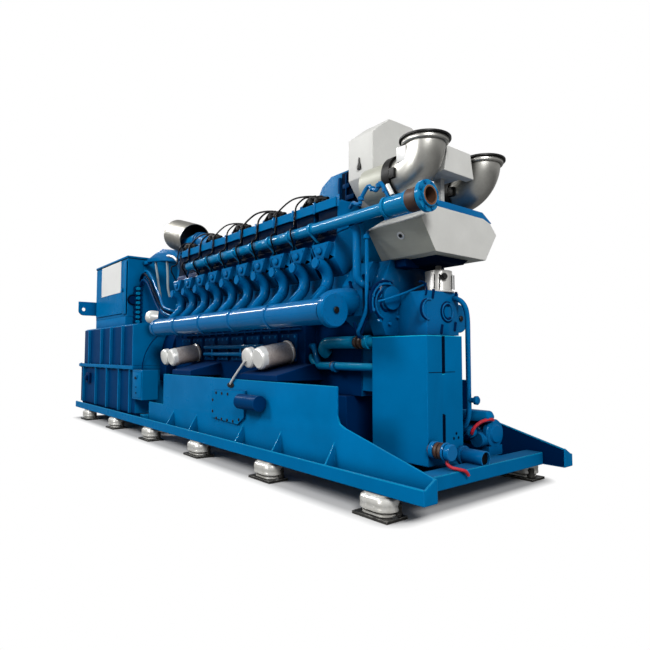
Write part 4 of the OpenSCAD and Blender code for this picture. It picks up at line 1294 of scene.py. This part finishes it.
@dataclass
class Ignition(Part):
    """Coil boxes on the rocker covers with the leads that cross to the heads."""

    lead: float = 0.0076
    packs_top: float = 1.98
    coils: Sequence[Point] = ((0.0, 0.075, 0.066), (0.07, 0.09, 0.084), (0.145, 0.085, 0.066), (0.205, 0.06, 0.045))
    bridge: Sequence[Point] = ((-0.05, 0.37, 1.935), (0.05, 0.385, 1.972), (0.14, 0.38, 1.955), (0.23, 0.37, 1.935))
    drop: Sequence[Point] = (
        (-0.01, 0.405, 1.955), (-0.012, 0.4225, 1.89), (-0.01, 0.432, 1.8), (0.03, 0.47, 1.765),
        (0.085, 0.53, 1.735), (0.095, 0.538, 1.69), (0.07, 0.5, 1.645), (0.0, 0.43, 1.588),
    )

    def build(self) -> None:
        """Builds the coil boxes, the caps beside them and their leads."""
        self.soften("coil_packs", "engine_enamel", 0.01, drop=lambda _, high: high.z > self.packs_top)
        coils, leads, boots = Shape(), Shape(), Shape()
        for i in range(0, 9, 2):
            x = FIRST_HEAD + PITCH * i
            for side in SIDES:
                for dx, width, height in self.coils:
                    dome = ((0.0, 0.0), (0.5, 0.0), (0.56, 0.4), (0.42, 0.8), (0.2, 1.0), (0.0, 1.0))
                    seat = (x + dx - 0.02, side * (0.335 + 0.02 * math.sin(9.0 * dx)), 1.918)
                    coils.lathe([(width * r, height * h) for r, h in dome], seat, (0.15, side * 0.3, 1.0), 16)
                coils.hose([(x + dx, side * y, z) for dx, y, z in self.bridge], 0.017, 10)
                for reach, apex in ((0.08, 0.03), (0.33, 0.055))[: 2 if i else 1]:
                    end = x - reach
                    path = [(x + 0.08, side * 0.33, 1.965), (x, side * 0.335, 1.985 + apex * 0.5)]
                    path += [(x - reach * 0.6, side * 0.365, 1.975 + apex)]
                    path += [(end + dx, side * y, z) for dx, y, z in self.drop]
                    leads.hose(path, self.lead * (1.0 if i % 4 else 0.85), 8, 5)
                    boot = ((0.0, 0.0), (0.012, 0.0), (0.012, 0.024), (0.008, 0.032), (0.0, 0.032))
                    boots.lathe(boot, (end, side * 0.43, 1.588), (0.0, side * 0.9, 0.45), 14)
        self.finish(coils, "coil_terminals", "black_moulding", 0.002)
        self.finish(leads, "ignition_leads", "black_moulding")
        self.finish(boots, "lead_boots", "dark_steel")


# ---- exhaust


@dataclass
class Exhaust(Part):
    """Exhaust cover, collector box, elbows, shield and the cooler under them."""

    inlet_x: float = 2.534
    outlet_x: float = 2.746
    outlet_y: float = 0.286
    top: float = 2.123
    strip: float = 0.0465
    sleeve: float = 0.0205
    ring: float = 0.0405
    flange: float = 0.0105
    flange_edge: float = 0.03
    underside: float = 0.2
    end_face: float = 0.6
    latch: Sequence[Pair] = (
        (-0.016, 0.0), (0.016, 0.0), (0.014, 0.03), (0.006, 0.045), (0.0, 0.085), (-0.006, 0.045), (-0.014, 0.03)
    )

    def build(self) -> None:
        """Builds the exhaust from the cover to the outlets."""
        for node, finish, bevel in (
            ("exhaust_cover", "blue_enamel", 0.012), ("exhaust_box", "lagging_panel", 0.006),
            ("heat_shield", "lagging_panel", 0.004),
        ):
            self.soften(node, finish, bevel)
        strip = Corners("cooler_housing").z1 - self.strip

        def zone(middle: Vector, normal: Vector) -> int:
            """Picks the blue strip along the top and the shaded sheets that face down."""
            if middle.z > strip:
                return 1
            return 2 if normal.z < -self.underside and abs(normal.x) < self.end_face else 0

        self.soften("cooler_housing", "lagging_panel engine_enamel lagging_shade", 0.004, zone)
        self._elbows()
        self._trim()

    def _elbows(self) -> None:
        """Builds the elbows with their sleeves, textured rings and flanges."""
        x, y, flange = self.inlet_x, self.outlet_y, self.top - self.flange

        def zone(middle: Vector, _: Vector) -> int:
            """Picks the sleeve, in the shaded lagging as painted shade, the textured ring, the flange or the bare
            elbow.
            """
            if middle.x < x - self.sleeve:
                return 1
            ringed = middle.x < x + self.ring and middle.z < flange - self.flange_edge
            return 2 if ringed or middle.z > flange else 0

        self.soften("exhaust_elbows", "satin_steel lagging_shade dark_steel", 0.0, zone)
        rings, rim = Shape(), ((0.12, 2.086), (0.133, 2.086), (0.139, 2.092), (0.139, 2.1125), (0.12, 2.1125))
        for side in SIDES:
            rings.lathe(rim, (self.outlet_x, side * y, 0.0), UP, 56, True)
        self.finish(rings, "outlet_rings", "satin_steel", 0.001)
        self.boxes("elbow_brackets", "dark_steel", 0.002, *[
            ((x + 0.045, side * y - 0.14, 1.9), (x + 0.085, side * y - 0.118, 1.96)) for side in SIDES
        ])
        self.boxes("elbow_tags", "white_plate", 0.004, *[
            ((2.628, side * (y + 0.118) - 0.006, 1.985), (2.7, side * (y + 0.118) + 0.006, 2.075)) for side in SIDES
        ])

    def _trim(self) -> None:
        """Builds the latches, washers, screws and side sheets of the panels."""
        box, cooler, cover = Corners("exhaust_box"), Corners("cooler_housing"), Corners("exhaust_cover")
        latch, washers, strips = Shape(), Shape(), Shape()
        outline = [(box.x0 + 0.115 + u, 2.1 + v) for u, v in self.latch]
        for side in SIDES:
            latch.prism(outline, side * (box.y1 - 0.001), side * (box.y1 + 0.012))
        self.finish(latch, "collector_latches", "dark_steel", 0.002)
        spots = [((cooler.x0 + 0.244, side * 0.332, 1.566), (0.0, side * 0.82, -0.57)) for side in SIDES]
        self.bolts.set_out("panel_bolts", spots, 0.013, "dark_steel")
        for place, facing in spots:
            washers.lathe(((0.0, -0.002), (0.026, -0.002), (0.026, 0.003), (0.0, 0.003)), place, facing, 24)
        self.finish(washers, "panel_washers", "bright_cap")
        # Near-black sheets along the cover's sides, painted shade.
        self.boxes("cover_side_sheets", "shade_enamel", 0.0, *[
            ((1.846, side * 0.152 - 0.004, 1.66), (2.055, side * 0.152 + 0.004, 2.185)) for side in SIDES
        ])
        for side in SIDES:
            for x, y, top, radius in ((1.823, 0.158, 2.16, 0.013), (1.905, 0.165, 2.17, 0.009)):
                strips.tube(((x, side * y, 1.66), (x, side * y, top)), radius)
            for i in range(5):
                odd, z, y = i % 2, 1.7 + 0.09 * i, side * 0.164
                strips.box((1.87 + 0.03 * odd, y - 0.008, z), (1.94 + 0.05 * odd, y + 0.008, z + 0.035))
        self.finish(strips, "cover_side_fittings", "deep_enamel", 0.003)
        self.bolts.set_out("cover_screws", [
            ((cover.x0 + 0.12 + 0.24 * i, side * 0.1505, 1.93), (0.0, float(side), 0.0))
            for i in range(8) for side in SIDES
        ], 0.007)


# ---- free end


@dataclass
class FreeEnd(Part):
    """Gear case, mixer, tank and pump at the free end."""

    nose: float = 2.429
    block: float = 2.669
    shade_from: float = 1.405
    covers_to: float = 2.68
    mixer: Pair = (2.591, 0.019)
    tank_line: Pair = (-0.297, 0.304)
    drain: Pair = (-0.012, 0.238)
    pump_casing: Sequence[Pair] = (
        (0.0, 0.0), (0.078, 0.0), (0.084, 0.008), (0.084, 0.15), (0.08, 0.155), (0.08, 0.175), (0.084, 0.18),
        (0.084, 0.285), (0.078, 0.292), (0.07, 0.292), (0.07, 0.318), (0.088, 0.322), (0.092, 0.328), (0.092, 0.352),
        (0.086, 0.36), (0.062, 0.362), (0.052, 0.372), (0.0, 0.374),
    )

    def build(self) -> None:
        """Builds the free end from the gear case down."""
        self.soften("gear_case", "engine_enamel shade_enamel", 0.03, lambda middle, _: int(middle.z > self.shade_from))
        self.soften("gear_case_covers", "engine_enamel", 0.003, drop=lambda _, high: high.x > self.covers_to)
        self._castings()
        self._mixer()
        self._tank()
        self._pump()
        self._drain()
        self.hoses("mixer_pipe", "engine_enamel", (0.007, 10, (
            (2.55, 0.106, 1.358), (2.56, 0.02, 1.335), (2.555, -0.066, 1.296), (2.53, -0.2, 1.24),
            (2.5, -0.354, 1.186), (2.46, -0.4, 1.17),
        )))

    def _mixer(self) -> None:
        """Builds the mixer with its seams and port, the case bolts and the brackets of the cooler."""
        self.soften("gas_mixer", "mixer_steel", 0.003)
        seams, bottom, (x, y) = Shape(), Corners("gas_mixer").z0, self.mixer
        for angle in (-1.15, -0.8, 0.15, 0.55):
            centre = Vector((x + 0.0975 * math.cos(angle), y + 0.0975 * math.sin(angle), 0.0))
            seams.tube([centre + Vector((0.0, 0.0, bottom + rise)) for rise in (0.02, 0.112)], 0.0035, 8)
        facing = Vector((0.86, -0.5, 0.05))
        port = Vector((x, y, 1.33)) + facing * 0.097
        seams.collar(port - facing * 0.004, facing, 0.014, 0.021, 0.01, 28)
        seams.disc(port, facing, 0.012, 0.012, 20)
        self.finish(seams, "mixer_seams", "dark_steel")
        spots = [
            spot for y, z in ((-0.268, 1.2), (0.268, 1.16))
            for spot in round_spots(self.nose + 0.024, y, z, 0.062, 8, 0.5)
        ]
        self.bolts.set_out("case_bolts", spots, 0.0075)
        self.boxes(
            "cooler_brackets", "navy_enamel", 0.004,
            ((2.4, -0.215, 1.4), (2.52, -0.085, 1.451)), ((2.36, 0.12, 1.38), (2.5, 0.2, 1.451)),
        )

    def _castings(self) -> None:
        """Builds the cast rings, arcs and bosses of the gear case; the dark arcs and strokes are painted shade in its
        grooves.
        """
        shade, ridges = Shape(), Shape()

        def arc(shape: Shape, face: float, centre: Pair, radius: float, span: Pair, thick: float) -> None:
            """Adds a cast arc to a face that looks along the set."""
            angles = [span[0] + (span[1] - span[0]) * i / 24 for i in range(25)]
            points = [(face, centre[0] + radius * math.cos(a), centre[1] + radius * math.sin(a)) for a in angles]
            shape.tube(points, thick, 10)

        face, hub = self.block + 0.001, (0.005, 1.112)
        for shape, centre, radius, span, thick in (
            (shade, hub, 0.046, (1.2, 5.4), 0.009), (shade, hub, 0.062, (1.2, 5.4), 0.006),
            (ridges, hub, 0.054, (0.0, 6.283), 0.008), (shade, (-0.19, 1.12), 0.06, (1.4, 4.6), 0.007),
            (ridges, (-0.175, 1.12), 0.062, (1.3, 4.7), 0.008), (shade, (-0.245, 1.235), 0.05, (-0.6, 1.9), 0.006),
        ):
            arc(shape, face, centre, radius, span, thick)
        for y, z in ((-0.06, 1.01), (0.075, 1.03), (-0.14, 1.225), (0.085, 1.225)):
            shade.tube(((face, y, z - 0.035), (face, y + 0.012, z + 0.02)), 0.009, 8)
        centre = (-0.3, 1.165)
        for radius, span, thick in (
            (0.14, (1.2, 3.6), 0.011), (0.108, (2.2, 4.4), 0.007), (0.078, (0.2, 2.6), 0.008),
            (0.046, (3.0, 5.6), 0.007),
        ):
            arc(shade, self.nose + 0.002, centre, radius, span, thick)
            arc(ridges, self.nose + 0.002, centre, radius - 0.014, span, thick)
        for angle in (0.7 * i for i in range(9)):
            spot = (self.nose, centre[0] + 0.128 * math.cos(angle), centre[1] + 0.128 * math.sin(angle))
            ridges.lathe(((0.0, 0.0), (0.013, 0.0), (0.01, 0.016), (0.0, 0.016)), spot, ALONG, 14)
        for x, z, lean in (
            (2.2, 1.32, 0.05), (2.27, 1.2, -0.04), (2.33, 1.35, 0.06), (2.24, 1.05, 0.05), (2.36, 1.08, -0.05),
        ):
            for side in SIDES:
                shade.tube(((x, side * 0.401, z), (x + lean, side * 0.401, z - 0.1)), 0.01, 8)
        self.finish(shade, "casting_recesses", "recess_enamel")
        self.finish(ridges, "casting_ridges", "pipe_enamel")

    def _tank(self) -> None:
        """Builds the tank module with its slots, seam and couplings."""
        tank = Corners("tank_module")
        # The tank's upward rounded edges take the light cyan enamel as painted highlight.
        self.soften("tank_module", "blue_enamel", 0.012, highlight_finish="highlight_enamel")
        slots, fitting, sleeve = Shape(), Shape(), Shape()
        # The slots and holes in the tank's end are dark blocks, painted shade in their openings.
        for z0, z1, width in ((0.735, 0.954, 0.013), (0.325, 0.489, 0.012)):
            slots.box((tank.x1 - 0.012, -0.174 - width, z0), (tank.x1 + 0.0015, -0.174 + width, z1))
        slots.box((tank.x1 - 0.012, tank.y0 + 0.012, 0.738), (tank.x1 + 0.001, -0.065, 0.742))
        for y, z in ((-0.085, 0.345), (-0.06, 0.372), (-0.04, 0.345)):
            slots.disc((tank.x1, y, z), ALONG, 0.008, 0.002, 12)
        self.finish(slots, "tank_slots", "shade_enamel")
        for x, radius, width in ((2.786, 0.05, 0.03), (2.874, 0.052, 0.014), (2.89, 0.046, 0.034)):
            low, high = (radius - 0.004, radius), (0.004, width - 0.004)
            rounded = ((0.0, 0.0), (low[0], 0.0), (radius, high[0]), (radius, high[1]), (low[0], width), (0.0, width))
            fitting.lathe(rounded, (x, *self.tank_line), ALONG)
        self.finish(fitting, "tank_flanges", "pipe_enamel", 0.0, "tank_connections")
        for x, radius, width in ((tank.x1 - 0.002, 0.036, 0.104), (2.822, 0.047, 0.02), (2.85, 0.047, 0.02)):
            sleeve.disc((x, *self.tank_line), ALONG, radius, width, 32)
        self.finish(sleeve, "tank_coupling", "brown_rubber", 0.001)

    def _pump(self) -> None:
        """Builds the pump with its lid, end ring and red leads."""
        body = Shape().lathe(self.pump_casing, (2.44, 0.31, 0.338), ALONG, 44)
        neck = ((0.0, 0.0), (0.052, 0.0), (0.052, 0.09), (0.046, 0.1), (0.0, 0.1))
        body.lathe(neck, (2.745, 0.285, 0.305), OUT, 32)
        body.disc((2.612, 0.25, 0.355), OUT, 0.032, 0.24, 24)
        body.box((2.5, 0.235, 0.205), (2.8, 0.385, 0.262))
        self.finish(body, "pump_body", "engine_enamel", 0.0, "pump_set")
        outline = ((2.585, 0.415), (2.8, 0.415), (2.822, 0.448), (2.8, 0.486), (2.62, 0.486), (2.585, 0.45))
        self.finish(Shape().prism(outline, 0.205, 0.285), "pump_lid", "blue_enamel", 0.014)
        dial = ((0.0, 0.0), (0.034, 0.0), (0.034, 0.03), (0.022, 0.034), (0.018, 0.044), (0.0, 0.046))
        self.finish(Shape().lathe(dial, (2.716, 0.19, 0.351), OUT, 28), "pump_port", "blue_enamel", 0.002)
        upper = (
            (2.735, 0.15, 0.345), (2.745, 0.142, 0.362), (2.76, 0.15, 0.392), (2.782, 0.172, 0.418),
            (2.8, 0.205, 0.432), (2.815, 0.24, 0.436), (2.815, 0.262, 0.43),
        )
        lower = (
            (2.885, -0.3, 0.262), (2.893, -0.302, 0.24), (2.915, -0.296, 0.224), (2.945, -0.27, 0.216),
            (2.965, -0.24, 0.205), (2.968, -0.215, 0.18),
        )
        self.hoses("pump_leads", "red_sheath", (0.0105, 12, upper), (0.0095, 12, lower))

    def _drain(self) -> None:
        """Builds the drain cock, the riser beside the tank and the drain stub."""
        knob = ((0.0, 0.0), (0.016, 0.0), (0.016, 0.03), (0.026, 0.034), (0.028, 0.052), (0.02, 0.06), (0.0, 0.06))
        cock = Shape().lathe(knob, (2.76, 0.1, 0.561), (1.0, 0.12, 0.0), 24)
        self.finish(cock, "drain_cock", "engine_enamel")
        self.hoses("vent_riser", "engine_enamel", (0.016, 14, (
            (2.62, 0.07, 1.205), (2.7, 0.072, 1.195), (2.742, 0.085, 1.15), (2.752, 0.098, 1.07), (2.752, 0.1, 0.9),
            (2.752, 0.1, 0.6), (2.75, 0.1, 0.47), (2.72, 0.1, 0.4), (2.66, 0.1, 0.365),
        )))
        stub, mouth = Shape(), (2.776, *self.drain)
        for inner, outer, length in ((0.0395, 0.0465, 0.168), (0.043, 0.058, 0.022)):
            stub.collar(mouth, ALONG, inner, outer, length)
        self.finish(stub, "drain_stub", "pipe_enamel", 0.001)
        # A black disc inside the stub, painted shade in its bore.
        bore = Shape().disc((2.778, *self.drain), ALONG, 0.04, 0.15, 32)
        self.finish(bore, "drain_bore", "black_moulding")


# ---- side gear


@dataclass
class SideGear(Part):
    """Filters, oil pipes and the air drum."""

    filter_x: Pair = (-0.102, 1.464)
    filter_tilt: float = math.radians(10.7)
    cap_from: float = -0.6
    drum_radius: float = 0.185
    drum_core: float = 0.02
    drum_axis: Point = (-0.956, 0.0, 0.292)
    drum_mouth: Point = (-0.745, -0.1, 2.136)
    canister: Sequence[Pair] = (
        (0.0, 0.0), (0.08, 0.0), (0.0885, 0.006), (0.0905, 0.014), (0.0885, 0.022), (0.084, 0.028), (0.084, 0.225),
        (0.0865, 0.231), (0.0865, 0.238), (0.084, 0.244), (0.084, 0.268), (0.078, 0.282), (0.066, 0.29), (0.0, 0.292),
    )
    companion: Sequence[Pair] = (
        (0.0, 0.1), (0.05, 0.1), (0.05, 0.235), (0.072, 0.24), (0.078, 0.247), (0.078, 0.285), (0.07, 0.299),
        (0.055, 0.306), (0.0, 0.308),
    )

    def build(self) -> None:
        """Builds the gear on the flanks and over the flywheel housing."""

        def redrawn(low: Vector, high: Vector) -> bool:
            """Picks the upright pipes, the dipstick and the side pipes, which have smooth ones in their place."""
            return high.z > 1.0 or (low.y < -0.5 and high.z < 0.8) or (low.x > 1.98 and high.z < 0.99)

        self._filters()
        self.soften("oil_pipes", "engine_enamel", drop=redrawn)
        self._side_pipes()
        self._drum()
        tray = Shape().prism((
            (-1.6, 1.975), (-1.113, 1.926), (-0.7, 1.865), (-0.637, 1.89), (-0.82, 2.01), (-1.119, 2.066),
            (-1.298, 2.05), (-1.6, 2.005),
        ), -0.335, -0.265)
        tray.box((-1.745, -0.33, 1.955), (-1.58, -0.27, 2.0))
        self.finish(tray, "cable_tray", "engine_enamel", 0.012)
        long_lead = (
            (-1.395, -0.3, 1.985), (-1.387, -0.3, 1.93), (-1.34, -0.3, 1.8), (-1.305, -0.3, 1.702),
            (-1.25, -0.3, 1.57), (-1.203, -0.3, 1.462), (-1.124, -0.3, 1.368), (-1.03, -0.28, 1.29),
        )
        short_lead = (
            (-1.052, -0.3, 1.96), (-1.048, -0.3, 1.9), (-1.027, -0.3, 1.759), (-1.012, -0.3, 1.602),
            (-1.0, -0.28, 1.5),
        )
        self.hoses("pale_leads", "grey_sleeve", (0.0135, 12, long_lead), (0.0135, 12, short_lead))
        link = ((-0.93, -0.345, 1.955), (-0.86, -0.345, 1.945), (-0.74, -0.345, 1.905), (-0.66, -0.35, 1.86))
        self.hoses("drum_link", "bright_cap", (0.013, 12, link))

    def _drum(self) -> None:
        """Builds the air drum and the duct from it into the engine."""
        axis, mouth = Vector(self.drum_axis), Vector(self.drum_mouth)

        def zone(middle: Vector, normal: Vector) -> int:
            """Picks the inside of the drum, painted dark as shade, and its bracket."""
            reach = middle - mouth
            radial = reach - axis * reach.dot(axis)
            if radial.length > self.drum_radius:
                return 2
            return int(radial.length > self.drum_core and normal.dot(radial.normalized()) < -ASLANT)

        self.soften("air_drum", "drum_steel dark_steel blue_enamel", 0.001, zone)
        duct = Shape().hose((
            (-0.95, -0.11, 2.1), (-0.8, -0.13, 2.082), (-0.66, -0.13, 2.09), (-0.52, -0.13, 2.082),
            (-0.37, -0.13, 2.025), (-0.25, -0.13, 1.93), (-0.2, -0.13, 1.8), (-0.19, -0.13, 1.62),
        ), 0.088, 28)
        for along in (0.0, 0.045):
            duct.collar((-0.56 + along, -0.13, 2.088 - along * 0.2), (0.97, 0.0, -0.2), 0.08, 0.1, 0.02, 32)
        self.finish(duct, "drum_duct", "engine_enamel")

    def _side_pipes(self) -> None:
        """Builds the pipes between crankcase, tank and cooler, and the dipstick tube."""

        def level(shape: Shape, start: float, end: float, height: float, radius: float, sides: int) -> None:
            """Adds a straight piece of a side pipe."""
            shape.tube(((start, -0.283, height), (end, -0.283, height)), radius, sides)

        pipes = Shape().hose((
            (1.788, -0.25, 0.85), (1.788, -0.275, 0.868), (1.79, -0.283, 0.885), (1.806, -0.283, 0.913),
            (1.845, -0.283, 0.926), (1.95, -0.283, 0.927), (2.13, -0.283, 0.927),
        ), 0.042, 26)
        level(pipes, 2.232, 2.268, 0.926, 0.047, 26)
        level(pipes, 2.268, 2.33, 0.926, 0.034, 22)
        pipes.hose([(x, -0.283, z) for x, z in (
            (1.45, 0.915), (1.5, 0.917), (1.545, 0.905), (1.619, 0.838), (1.69, 0.78), (1.75, 0.766), (1.897, 0.766),
            (2.1, 0.764), (2.33, 0.762),
        )], 0.025, 22)
        # The level side pipes take the lighter enamel, painted light where the receiver shades them.
        self.finish(pipes, "side_pipes", "lit_enamel")
        pipes = Shape().hose((
            (2.36, -0.39, 1.62), (2.385, -0.42, 1.595), (2.393, -0.43, 1.56), (2.393, -0.43, 1.4),
            (2.392, -0.43, 1.2), (2.392, -0.43, 1.15), (2.378, -0.43, 1.105), (2.335, -0.43, 1.03),
            (2.3, -0.42, 0.985), (2.27, -0.36, 0.955),
        ), 0.0125, 16)
        joint = ((0.0, 0.0), (0.02, 0.0), (0.022, 0.012), (0.018, 0.026), (0.0, 0.026))
        pipes.lathe(joint, (2.393, -0.43, 1.565), UP, 18)
        pipes.hose((
            (2.302, -0.47, 1.67), (2.302, -0.45, 1.655), (2.302, -0.432, 1.625), (2.302, -0.43, 1.56),
            (2.303, -0.43, 1.37), (2.306, -0.425, 1.325), (2.325, -0.405, 1.295), (2.36, -0.385, 1.28),
        ), 0.027, 24)
        self.finish(pipes, "upright_pipes", "engine_enamel")
        cuff = Shape()
        for start, end, radius in ((2.128, 2.234, 0.036), (2.15, 2.168, 0.045), (2.188, 2.206, 0.045)):
            level(cuff, start, end, 0.926, radius, 26)
        level(cuff, 1.888, 1.905, 0.766, 0.031, 22)
        self.finish(cuff, "pipe_cuffs", "brown_rubber")
        self.hoses("dipstick_tube", "bright_cap", (0.0095, 12, (
            (1.087, -0.652, 0.615), (1.12, -0.656, 0.643), (1.18, -0.66, 0.688), (1.26, -0.664, 0.745),
            (1.33, -0.664, 0.8),
        )))

    def _filters(self) -> None:
        """Builds the canister filters, each with its smaller companion and a beaded rim."""
        cans, tilt = Shape(), self.filter_tilt
        way = Vector((0.0, -math.cos(tilt), -math.sin(tilt)))
        for x in self.filter_x:
            root = Vector((x, -0.358, 0.865))
            cans.lathe(self.canister, root, way, 48)
            cans.lathe(self.companion, root + Vector((-0.135, 0.0, 0.006)), way, 40)
        cans.zones(lambda middle, normal: int(abs(normal.dot(way)) < ASLANT and middle.y > self.cap_from))
        self.finish(cans, "filter_canisters", "bright_cap filter_steel", 0.0, "oil_filters")
        self.boxes("filter_heads", "navy_enamel", 0.015, *[
            ((x - 0.21, -0.47, 0.79), (x + 0.03, -0.345, 0.93)) for x in self.filter_x
        ])


# ---- studio


@dataclass(frozen=True)
class Lamp:
    """An area lamp."""

    name: str
    place: Point
    size: Pair
    power: float
    level: bool = False
    highlight_only: bool = False

    def hang(self) -> None:
        """Hangs the lamp, level or facing the middle of the set."""
        data = bpy.data.lights.new(self.name, "AREA")
        data.shape, data.energy, (data.size, data.size_y) = "RECTANGLE", self.power, self.size
        lamp = hang(self.name, data)
        lamp.location = self.place
        if not self.level:
            lamp.rotation_euler = (Vector(UP) - Vector(self.place)).to_track_quat("-Z", "Y").to_euler()
        lamp.visible_diffuse = not self.highlight_only


@dataclass
class Studio:
    """Camera, lights, world and floor."""

    place: Point = (4.731, -2.678, 0.846)
    turn: Point = (math.radians(93.195), 0.0, math.radians(50.728))
    lens: float = 28.997
    world_strength: float = 0.3
    world_mirrored: float = 0.15
    floor_bounce: float = 0.3
    floor_shown: float = 0.56
    floor_fade: Pair = (0.07, 0.17)
    floor_reach: float = 40.0
    footprint: Point = (2.82, 0.67, 1.0)
    lamps: Sequence[Lamp] = (
        Lamp("strip", (-7.2, -2.3, 5.5), (10.0, 0.35), 700.0, level=True, highlight_only=True),
        Lamp("post", (1.5, -11.0, 3.0), (0.5, 7.0), 500.0, highlight_only=True),
        Lamp("key", (-4.0, -10.0, 8.0), (3.5, 3.5), 920.0),
        Lamp("fill", (10.0, -5.0, 6.5), (3.0, 3.0), 760.0),
    )

    def build(self) -> None:
        """Builds the whole studio."""
        bpy.context.scene.view_settings.view_transform = "Standard"
        data = bpy.data.cameras.new("camera")
        data.lens, data.sensor_width, data.sensor_fit, data.clip_end = self.lens, 36.0, "AUTO", 100.0
        camera = hang("camera", data)
        camera.location, camera.rotation_euler = self.place, self.turn
        bpy.context.scene.camera = camera
        self._world()
        for lamp in self.lamps:
            lamp.hang()
        self._floor()
        LOG.info("studio built")

    @staticmethod
    def _empty(holder: bpy.types.Material | bpy.types.World) -> Graph:
        """Gives a material or world an empty node tree."""
        holder.use_nodes = True
        holder.node_tree.nodes.clear()
        return Graph(holder.node_tree)

    def _world(self) -> None:
        """Lights the world softly and shows it white."""
        world = bpy.context.scene.world = bpy.data.worlds.new("surroundings")
        graph = self._empty(world)
        rays = graph.add("ShaderNodeLightPath").outputs
        seen = graph.math("MULTIPLY_ADD", rays["Is Glossy Ray"], self.world_mirrored, rays["Is Camera Ray"])
        strength = graph.add("ShaderNodeMix", {"A": self.world_strength, "B": 1.0, "Factor": seen}, data_type="FLOAT")
        shown = {"Color": (1.0, 1.0, 1.0, 1.0), "Strength": strength.outputs["Result"]}
        glow = graph.add("ShaderNodeBackground", shown)
        graph.add("ShaderNodeOutputWorld", {"Surface": glow.outputs["Background"]})

    def _floor(self) -> None:
        """Lays the pale floor, which turns white away from the set."""
        reach = self.floor_reach
        shape = Shape().box((-reach, -reach, -0.05), (reach, reach, 0.0))
        bmesh.ops.recalc_face_normals(shape.mesh, faces=shape.mesh.faces)
        mesh = bpy.data.meshes.new("studio_floor")
        shape.mesh.to_mesh(mesh)
        shape.mesh.free()
        floor = hang("studio_floor", mesh)
        material = bpy.data.materials.new("studio_paper")
        graph = self._empty(material)
        seen = graph.add("ShaderNodeLightPath").outputs["Is Camera Ray"]
        tone = graph.mix(seen, (self.floor_bounce,) * 3, (self.floor_shown,) * 3)
        paper = graph.add("ShaderNodeBsdfDiffuse", {"Color": tone})
        socket = graph.add("ShaderNodeTexCoord").outputs["Object"]
        steps = (("ABSOLUTE",), ("SUBTRACT", self.footprint), ("MAXIMUM", (0.0, 0.0, 0.0)), ("LENGTH",))
        for operation, *other in steps:
            away = graph.add("ShaderNodeVectorMath", dict(enumerate((socket, *other))), operation=operation)
            socket = away.outputs[0]
        share = graph.math("MULTIPLY", graph.span(away.outputs["Value"], *self.floor_fade), seen)
        white = graph.add("ShaderNodeEmission")
        faces = {"Fac": share, 1: paper.outputs["BSDF"], 2: white.outputs["Emission"]}
        graph.add("ShaderNodeOutputMaterial", {"Surface": graph.add("ShaderNodeMixShader", faces).outputs["Shader"]})
        mesh.materials.append(material)


# ---- the whole set


def main() -> None:
    """Builds the generating set and its studio."""
    logging.basicConfig(level=logging.INFO, format="%(message)s")
    for thing in list(bpy.data.objects):
        bpy.data.objects.remove(thing)
    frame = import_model()
    shop = Workshop(Palette(), frame["nodes"])
    tools = (shop, Fasteners(shop), Slats(shop))
    Studio().build()
    parts = [
        BaseFrame(*tools), Mounts(*tools), Alternator(*tools), EngineBlock(*tools), Bank(*tools, NEAR),
        Bank(*tools, FAR), Ignition(*tools), Exhaust(*tools), FreeEnd(*tools), SideGear(*tools),
    ]
    for part in parts:
        part.build()
        LOG.info("%s done, %d pieces so far", type(part).__name__, shop.count)
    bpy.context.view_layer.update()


if __name__ == "__main__":
    main()
